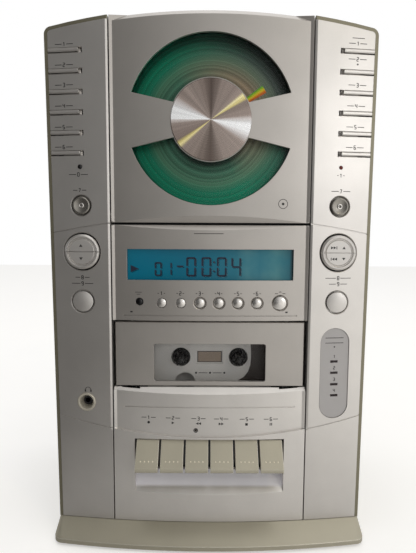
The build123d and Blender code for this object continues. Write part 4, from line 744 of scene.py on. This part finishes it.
class PLAYER_OT_side_controls(bpy.types.Operator):
    """Bar keys, round buttons, rockers, preset buttons, lamps, lens and headphone socket"""
    bl_idname = "player.side_controls"
    bl_label = "Side controls"

    def execute(self, context):
        finish = settings()[0]
        finish_nodes(BARS + ["band_button", "equaliser_button", "volume_rocker", "tuning_rocker"],
                     lacquered_abs("Silver lacquered key", finish.silver, metallic=0.75, sparkle=0.02))
        finish_nodes(["power_button", "bass_button"],
                     lacquered_abs("Deep grey lacquered button", linear("#8B8780"), metallic=0.85, roughness=0.28,
                                   sparkle=0.02))
        bright = lacquered_abs("Bright lacquered button", shade(finish.silver, 1.1), metallic=0.9, roughness=0.22,
                               sparkle=0.02)
        finish_nodes(PRESETS + ["mode_button"], bright)
        finish_nodes(["equaliser_lens"], clear_polystyrene("Silver-tinted polystyrene lens", "#C2BEBC", 0.82))
        finish_nodes(["headphone_jack"], moulded_abs("Black moulded ABS", linear("#0E0E10"), roughness=0.3))
        self.fit("standby_lamp", "left_panel", (-88.1, 262.3), 3.0, 0.1, dome(1.55, 0.75, 1.2), 24, "smoked_lens",
                 lamp_resin("Smoked epoxy lamp", "#161414"))
        self.fit("power_lamp", "right_panel", (87.9, 262.4), 3.0, 0.1, dome(1.55, 0.75, 1.2), 24, "smoked_lens",
                 lamp_resin("Red epoxy lamp", "#5A1A16"))
        self.fit("remote_sensor", "tuner_panel", (-48.5, 171.1), 4.0, 0.3, dome(2.35, 1.1, 1.2), 32, "smoked_lens",
                 lamp_resin("Black infrared filter polycarbonate", "#08080A"))
        self.fit("headphone_socket_lining", "left_panel", (-86.7, 99.3), 8.2, 0.55, SOCKET_RIM, 40, "chrome_ring",
                 lacquered_abs("Pale lacquered socket rim", linear("#B9B3A4"), metallic=0.35, roughness=0.25))
        self.rear_fittings()
        lamps = [bar(x, z, 5.4, 1.7) for x, z in LENS_LAMPS]
        new_piece("equaliser_lamps", plate_mesh("equaliser_lamps", lamps, front_of("equaliser_lens"), 0.05),
                  "cabinet", "smoked_lens", lamp_resin("Unlit red lamp window", "#1E0E10"))
        for name in ("power_button", "bass_button"):
            x, _, z = centre_mm(name)
            self.fit(f"{name}_eye", name, (x, z), 1.9, 0.0, BUTTON_EYE, 28, "silver_plastic", bright, f"{name}_cap")
        return {"FINISHED"}

    def fit(self, name, holder, place, beside, sink, profile, steps, slot_name, material, body="cabinet"):
        """Seats a turned piece sink millimetres behind the face of its holder, which is felt beside its centre."""
        x, z = place
        face = front_of(holder)(x + beside, z)
        mesh = turned_mesh(name, [(x, face + sink, z, lean_at(x), profile)], steps)
        new_piece(name, mesh, body, slot_name, material)

    def rear_fittings(self):
        """Cross-head screws of the rear shell."""
        back = box_mm("rear_shell")[1][1]
        heads = turned_mesh("rear_screws", [(x, back, z, 0.0, SCREW_HEAD) for x, z in SCREWS], 24)
        new_piece("rear_screws", heads, "cabinet", "steel", turned_steel("Zinc-plated steel screw"))
        crosses = [bar(x, z, *size) for x, z in SCREWS for size in ((3.4, 0.7), (0.7, 3.4))]
        new_piece("rear_screw_crosses", plate_mesh("rear_screw_crosses", crosses, lambda x, z: back + 0.8, 0.12),
                  "cabinet", "dark_plastic", moulded_abs("Shaded cross recess", linear("#0B0B0B")))


class PLAYER_OT_disc_bay(bpy.types.Operator):
    """Disc, turntable, clamp, window and the spun medallion"""
    bl_idname = "player.disc_bay"
    bl_label = "Disc bay"

    def execute(self, context):
        finish = settings()[0]
        x, _, z = centre_mm("compact_disc")
        finish_nodes(["compact_disc"], pressed_disc("Pressed polycarbonate disc", x, z, finish.disc))
        finish_nodes(["cd_door_window"], clear_polystyrene("Clear polystyrene", "#10241C", 0.1))
        finish_nodes(["cd_medallion"], spun_aluminium("Spun aluminium", x, z))
        finish_nodes(["cd_turntable", "cd_clamp"], moulded_abs("Grey moulded ABS", linear("#5B5B5D")))
        return {"FINISHED"}


class PLAYER_OT_display(bpy.types.Operator):
    """Backlit display with its seven-segment figures"""
    bl_idname = "player.display"
    bl_label = "Display"

    def execute(self, context):
        finish = settings()[0]
        finish_nodes(["lcd_module"], lit_display("Backlit display glass", finish.display))
        glass = box_mm("lcd_module")[0][1]
        outlines = [arrow(-52.1, 193.6, 5.6, 5.0), bar(-20.7, 195.3, 4.4, 1.1), bar(2.6, 198.3, 1.1, 1.1),
                    bar(2.6, 192.0, 1.1, 1.1)]
        for digit in DIGITS:
            outlines += segment_figure(*digit)
        fallen = [[(x + 0.7, z - 0.5) for x, z in outline] for outline in outlines]
        for name, shapes, proud, material in (
                ("display_figures", outlines, 0.05, printed_ink("Liquid crystal segment", finish.figure)),
                ("display_figure_shadows", fallen, 0.02,
                 clear_polystyrene("Shadow of the segments in the glass", "#043A4A", 0.45))):
            new_piece(name, plate_mesh(name, shapes, lambda x, z: glass, proud), "cabinet", "display_glass", material)
        return {"FINISHED"}


class PLAYER_OT_cassette_bay(bpy.types.Operator):
    """Cassette window, holder, deck plate, spindles and heads"""
    bl_idname = "player.cassette_bay"
    bl_label = "Cassette bay"

    def execute(self, context):
        finish = settings()[0]
        finish_nodes(["cassette_door_window"], clear_polystyrene("Clear polystyrene pane", "#3A3836", 0.06))
        finish_nodes(["cassette_deck"], moulded_abs("Grey deck moulding", finish.grey, roughness=0.45))
        finish_nodes(["cassette_holder"], moulded_abs("Dark holder moulding", linear("#3A3A3C")))
        finish_nodes(["supply_spindle", "take_up_spindle"],
                     moulded_abs("Black spindle moulding", linear("#040404"), roughness=0.6))
        finish_nodes(["key_shaft"], turned_steel("Turned steel"))
        # Painted shade: the heads' steel is made dark for the shade deep in the deck's notch
        finish_nodes(["head_carriage"], turned_steel("Steel darkened as painted shade", "#3C3C3E"))
        self.deck_marks(finish)
        return {"FINISHED"}

    def deck_marks(self, finish):
        """Dark window of the deck plate with its field, a painted shadow of the door frame on its right end,
        and the row of dots and dashes under it.
        """
        surface = front_of("cassette_deck")
        # Painted shadow: the door frame's shadow on the deck's right end, laid as a dark plate
        painted_frame_shadow = [(29.8, 141.5), (30.5, 134.0), (30.7, 127.0), (30.2, 121.0), (28.5, 116.0), (25.5, 112.0),
                  (21.0, 109.3), (45.0, 109.3), (45.0, 141.5)]
        row = [dot(x, 115.0, 0.75) for x in (-10.0, 0.4, 11.0)] + [bar(x, 115.0, 6.6, 0.4) for x in (-4.8, 5.7)]
        for name, outlines, proud, slot_name, material in (
                ("deck_inlay", [bar(0.0, 127.0, 18.2, 8.4)], 0.1, "dark_plastic",
                 moulded_abs("Black deck inlay", linear("#1A1918"), roughness=0.35)),
                ("deck_field", [bar(0.0, 127.0, 17.0, 7.4)], 0.2, "grey_plastic",
                 moulded_abs("Brown deck field", linear("#A08F7E"), roughness=0.35)),
                ("deck_shade", [painted_frame_shadow], 0.1, "dark_plastic",
                 moulded_abs("Painted shadow of the door frame on the deck", linear("#3A302B"), roughness=0.4)),
                ("deck_row", row, 0.08, "dark_plastic", printed_ink("Deck plate ink", finish.ink))):
            new_piece(name, plate_mesh(name, outlines, surface, proud), "cabinet", slot_name, material)


class PLAYER_OT_tape_keys(bpy.types.Operator):
    """Tape keys with their rows of grip dots"""
    bl_idname = "player.tape_keys"
    bl_label = "Tape keys"

    def execute(self, context):
        finish, sizes = settings()
        # The keys' champagne is 12 % lighter than the base's: a lit copy of the same lacquer, painted light
        keys = lacquered_abs("Champagne lacquered tape key", shade(finish.champagne, 1.12), metallic=0.35,
                             roughness=0.36, edge=0.7, worn=0.8)
        finish_nodes(TAPE_KEYS, keys)
        rounded_edges(TAPE_KEYS, 0.6)
        radius = sizes.bump_radius / MM
        # The grip dots are painted near white: a painted highlight on each small bump
        bright = lacquered_abs("Champagne lacquered grip dot", linear("#F6EED8"), metallic=0.1,
                               roughness=0.3, edge=0.1)
        for name in TAPE_KEYS:
            surface, middle = front_of(name), centre_mm(name)[0]
            dots = [(x, surface(x, GRIP_Z), GRIP_Z, 0.0, dome(radius, radius * 0.8))
                    for x in (middle + offset for offset in GRIP_X)]
            new_piece(f"{name}_grip", turned_mesh(f"{name}_grip", dots, 14), name.replace("_key", "_lever"),
                      "champagne_plastic", bright)
        return {"FINISHED"}


class PLAYER_OT_marks(bpy.types.Operator):
    """Printed numbers, symbols and short dashes on the front, with painted shade round the lens and microphone hole"""
    bl_idname = "player.marks"
    bl_label = "Printed marks"

    def execute(self, context):
        finish, sizes = settings()
        self.ink = printed_ink("Pad-printed ink", finish.ink)
        self.height = sizes.mark_height / MM
        self.proud = sizes.mark_proud / MM
        self.side_marks()
        self.rocker_marks()
        self.column_marks()
        self.tape_marks()
        return {"FINISHED"}

    def print_marks(self, name, outlines, node, body="cabinet"):
        """Prints outlines on a CAD node as one piece that rides on its body."""
        new_piece(name, plate_mesh(name, outlines, front_of(node), self.proud), body, "dark_plastic", self.ink)

    def numbered(self, number, x, z, reach):
        """A number with a thin line to each side, reach millimetres from its centre to a line's end."""
        start = self.height * 0.45 * len(number) + 0.5
        length = reach - start
        return (figures(number, x, z, self.height) + line(x - start - length / 2, z, length, LINE_HEIGHT)
                + line(x + start + length / 2, z, length, LINE_HEIGHT))

    def counted(self, places, reach=6.2):
        """Numbers from 1 up at the places."""
        outlines = []
        for index, (x, z) in enumerate(places):
            outlines += self.numbered(str(index + 1), x, z, reach)
        return outlines

    def side_marks(self):
        """Numbers beside the bar keys, lamps, buttons and rockers, the symbols of the socket and the lens,
        and a dark line of painted shade round the lens.
        """
        marks = self.counted(LEFT_MARKS)
        for mark in (("0", -89.3, 257.2, 6.6), ("7", -88.7, 246.7, 4.6), ("8", -87.9, 187.5, 5.0),
                     ("9", -87.9, 183.3, 7.6)):
            marks += self.numbered(*mark)
        self.print_marks("left_marks", marks, "left_panel")
        headband = stroke(arc(-85.5, 108.0, 2.0, 8, 0.0, math.pi), 0.35)
        self.print_marks("socket_mark", headband + [bar(x, 107.4, 0.9, 1.5) for x in (-83.5, -87.5)], "left_panel")
        marks = line(97.2, 346.6, 8.4, LINE_HEIGHT) + [dot(97.1, 329.9, 0.6)] + self.counted(RIGHT_MARKS)
        for mark in (("1", 87.9, 257.2, 2.6), ("7", 88.3, 246.7, 6.6), ("8", 88.2, 187.7, 9.0),
                     ("9", 88.3, 183.6, 6.4)):
            marks += self.numbered(*mark)
        self.print_marks("right_marks", marks, "right_panel")
        marks = line(87.1, 145.8, 13.0, LINE_HEIGHT) + line(87.1, 142.2, 13.0, LINE_HEIGHT) + [dot(87.2, 139.4, 0.55)]
        for index, z in enumerate((132.6, 124.4, 116.2, 108.1)):
            marks += figures(str(index + 1), 87.3 + index * 0.15, z, self.height * 0.85)
        # Painted shade: a dark ink line round the lens's edge stands for the shade of the gap round it
        low, high = box_mm("equaliser_lens")
        margin = 0.9
        middle, radius = (low[0] + high[0]) / 2, (high[0] - low[0]) / 2 - margin
        edge = (arc(middle, high[2] - margin - radius, radius, 16, 0.0, math.pi)
                + arc(middle, low[2] + margin + radius, radius, 16, math.pi, math.pi))
        self.print_marks("lens_marks", marks + stroke(edge + edge[:1], 0.45), "equaliser_lens")

    def rocker_marks(self):
        """Up and down on the left rocker; next, previous, up and down on the right one."""
        self.print_marks("volume_marks", [arrow_up(-88.3, 209.4, 2.4, 1.8), arrow_up(-88.3, 200.4, 2.4, 1.8, -1)],
                         "volume_rocker", "volume_rocker_cap")
        tuning = [arrow(83.2, 208.6, 1.8, 2.0), arrow(85.0, 208.6, 1.8, 2.0), bar(86.3, 208.6, 0.5, 2.0),
                  arrow_up(91.2, 208.6, 2.2, 1.8), bar(82.6, 200.9, 0.5, 2.0), arrow(83.9, 200.9, 1.8, 2.0, -1),
                  arrow(85.7, 200.9, 1.8, 2.0, -1), arrow_up(91.2, 200.9, 2.2, 1.8, -1)]
        self.print_marks("tuning_marks", tuning, "tuning_rocker", "tuning_rocker_cap")

    def column_marks(self):
        """Numbers over the preset buttons, the marks of the tuner panel, and a plain disc on the CD door."""
        marks = self.counted([(x, 177.0) for x in PRESET_MARK_X], 2.6)
        marks += self.numbered("0", 48.2, 177.0, 3.6) + line(-1.1, 217.8, 20.0, LINE_HEIGHT)
        marks += [bar(-54.2, 164.0, 1.6, 1.0), bar(52.8, 164.0, 1.6, 1.0), bar(-49.2, 177.6, 4.6, 0.35),
                  bar(-49.2, 176.2, 2.4, 0.35)]
        self.print_marks("column_marks", marks, "tuner_panel")
        self.print_marks("disc_mark", stroke(arc(*DISC_MARK, 3.1, 24), 0.4) + [dot(*DISC_MARK, 0.9)], "cd_door",
                         "cd_lid")

    def tape_marks(self):
        """The usual symbols of the tape keys, each under its number, and a dark ring of painted shade at the rim of
        the microphone's hole.
        """
        marks = [dot(-42.8, 85.4, 0.95), arrow(-25.6, 85.3, 1.9, 2.0), arrow(-8.6, 85.0, 1.8, 2.0, -1),
                 arrow(-6.8, 85.0, 1.8, 2.0, -1), arrow(7.4, 84.8, 1.8, 2.0), arrow(9.2, 84.8, 1.8, 2.0),
                 bar(26.1, 84.4, 1.8, 1.8), bar(42.8, 84.3, 0.6, 1.9), bar(43.9, 84.3, 0.6, 1.9)]
        marks += self.counted([(x, 89.0 - 0.2 * index) for index, x in enumerate(TAPE_MARK_X)], 5.0)
        # Painted shade: the dark ink ring round the microphone's hole
        self.print_marks("tape_marks", marks + stroke(arc(*MICROPHONE, 1.35, 20), 0.6), "lower_panel")


class PLAYER_PT_panel(bpy.types.Panel):
    """Steps and settings of the player"""
    bl_idname = "PLAYER_PT_panel"
    bl_label = "Player"
    bl_space_type = "VIEW_3D"
    bl_region_type = "UI"
    bl_category = "Player"

    def draw(self, context):
        layout = self.layout
        for step in STEPS:
            layout.operator(step.bl_idname)
        for group in (context.scene.player_finish, context.scene.player_sizes):
            box = layout.box()
            for key in group.__annotations__:
                box.prop(group, key)


STEPS = (PLAYER_OT_stage, PLAYER_OT_mouldings, PLAYER_OT_side_controls, PLAYER_OT_disc_bay, PLAYER_OT_display,
         PLAYER_OT_cassette_bay, PLAYER_OT_tape_keys, PLAYER_OT_marks)
CLASSES = (PLAYER_PG_finish, PLAYER_PG_sizes, *STEPS, PLAYER_PT_panel)


def register():
    for item in CLASSES:
        bpy.utils.register_class(item)
    bpy.types.Scene.player_finish = PointerProperty(type=PLAYER_PG_finish)
    bpy.types.Scene.player_sizes = PointerProperty(type=PLAYER_PG_sizes)


def unregister():
    del bpy.types.Scene.player_finish
    del bpy.types.Scene.player_sizes
    for item in reversed(CLASSES):
        bpy.utils.unregister_class(item)


def main():
    register()
    bpy.ops.player.stage()
    bpy.ops.player.mouldings()
    bpy.ops.player.side_controls()
    bpy.ops.player.disc_bay()
    bpy.ops.player.display()
    bpy.ops.player.cassette_bay()
    bpy.ops.player.tape_keys()
    bpy.ops.player.marks()


if __name__ == "__main__":
    main()
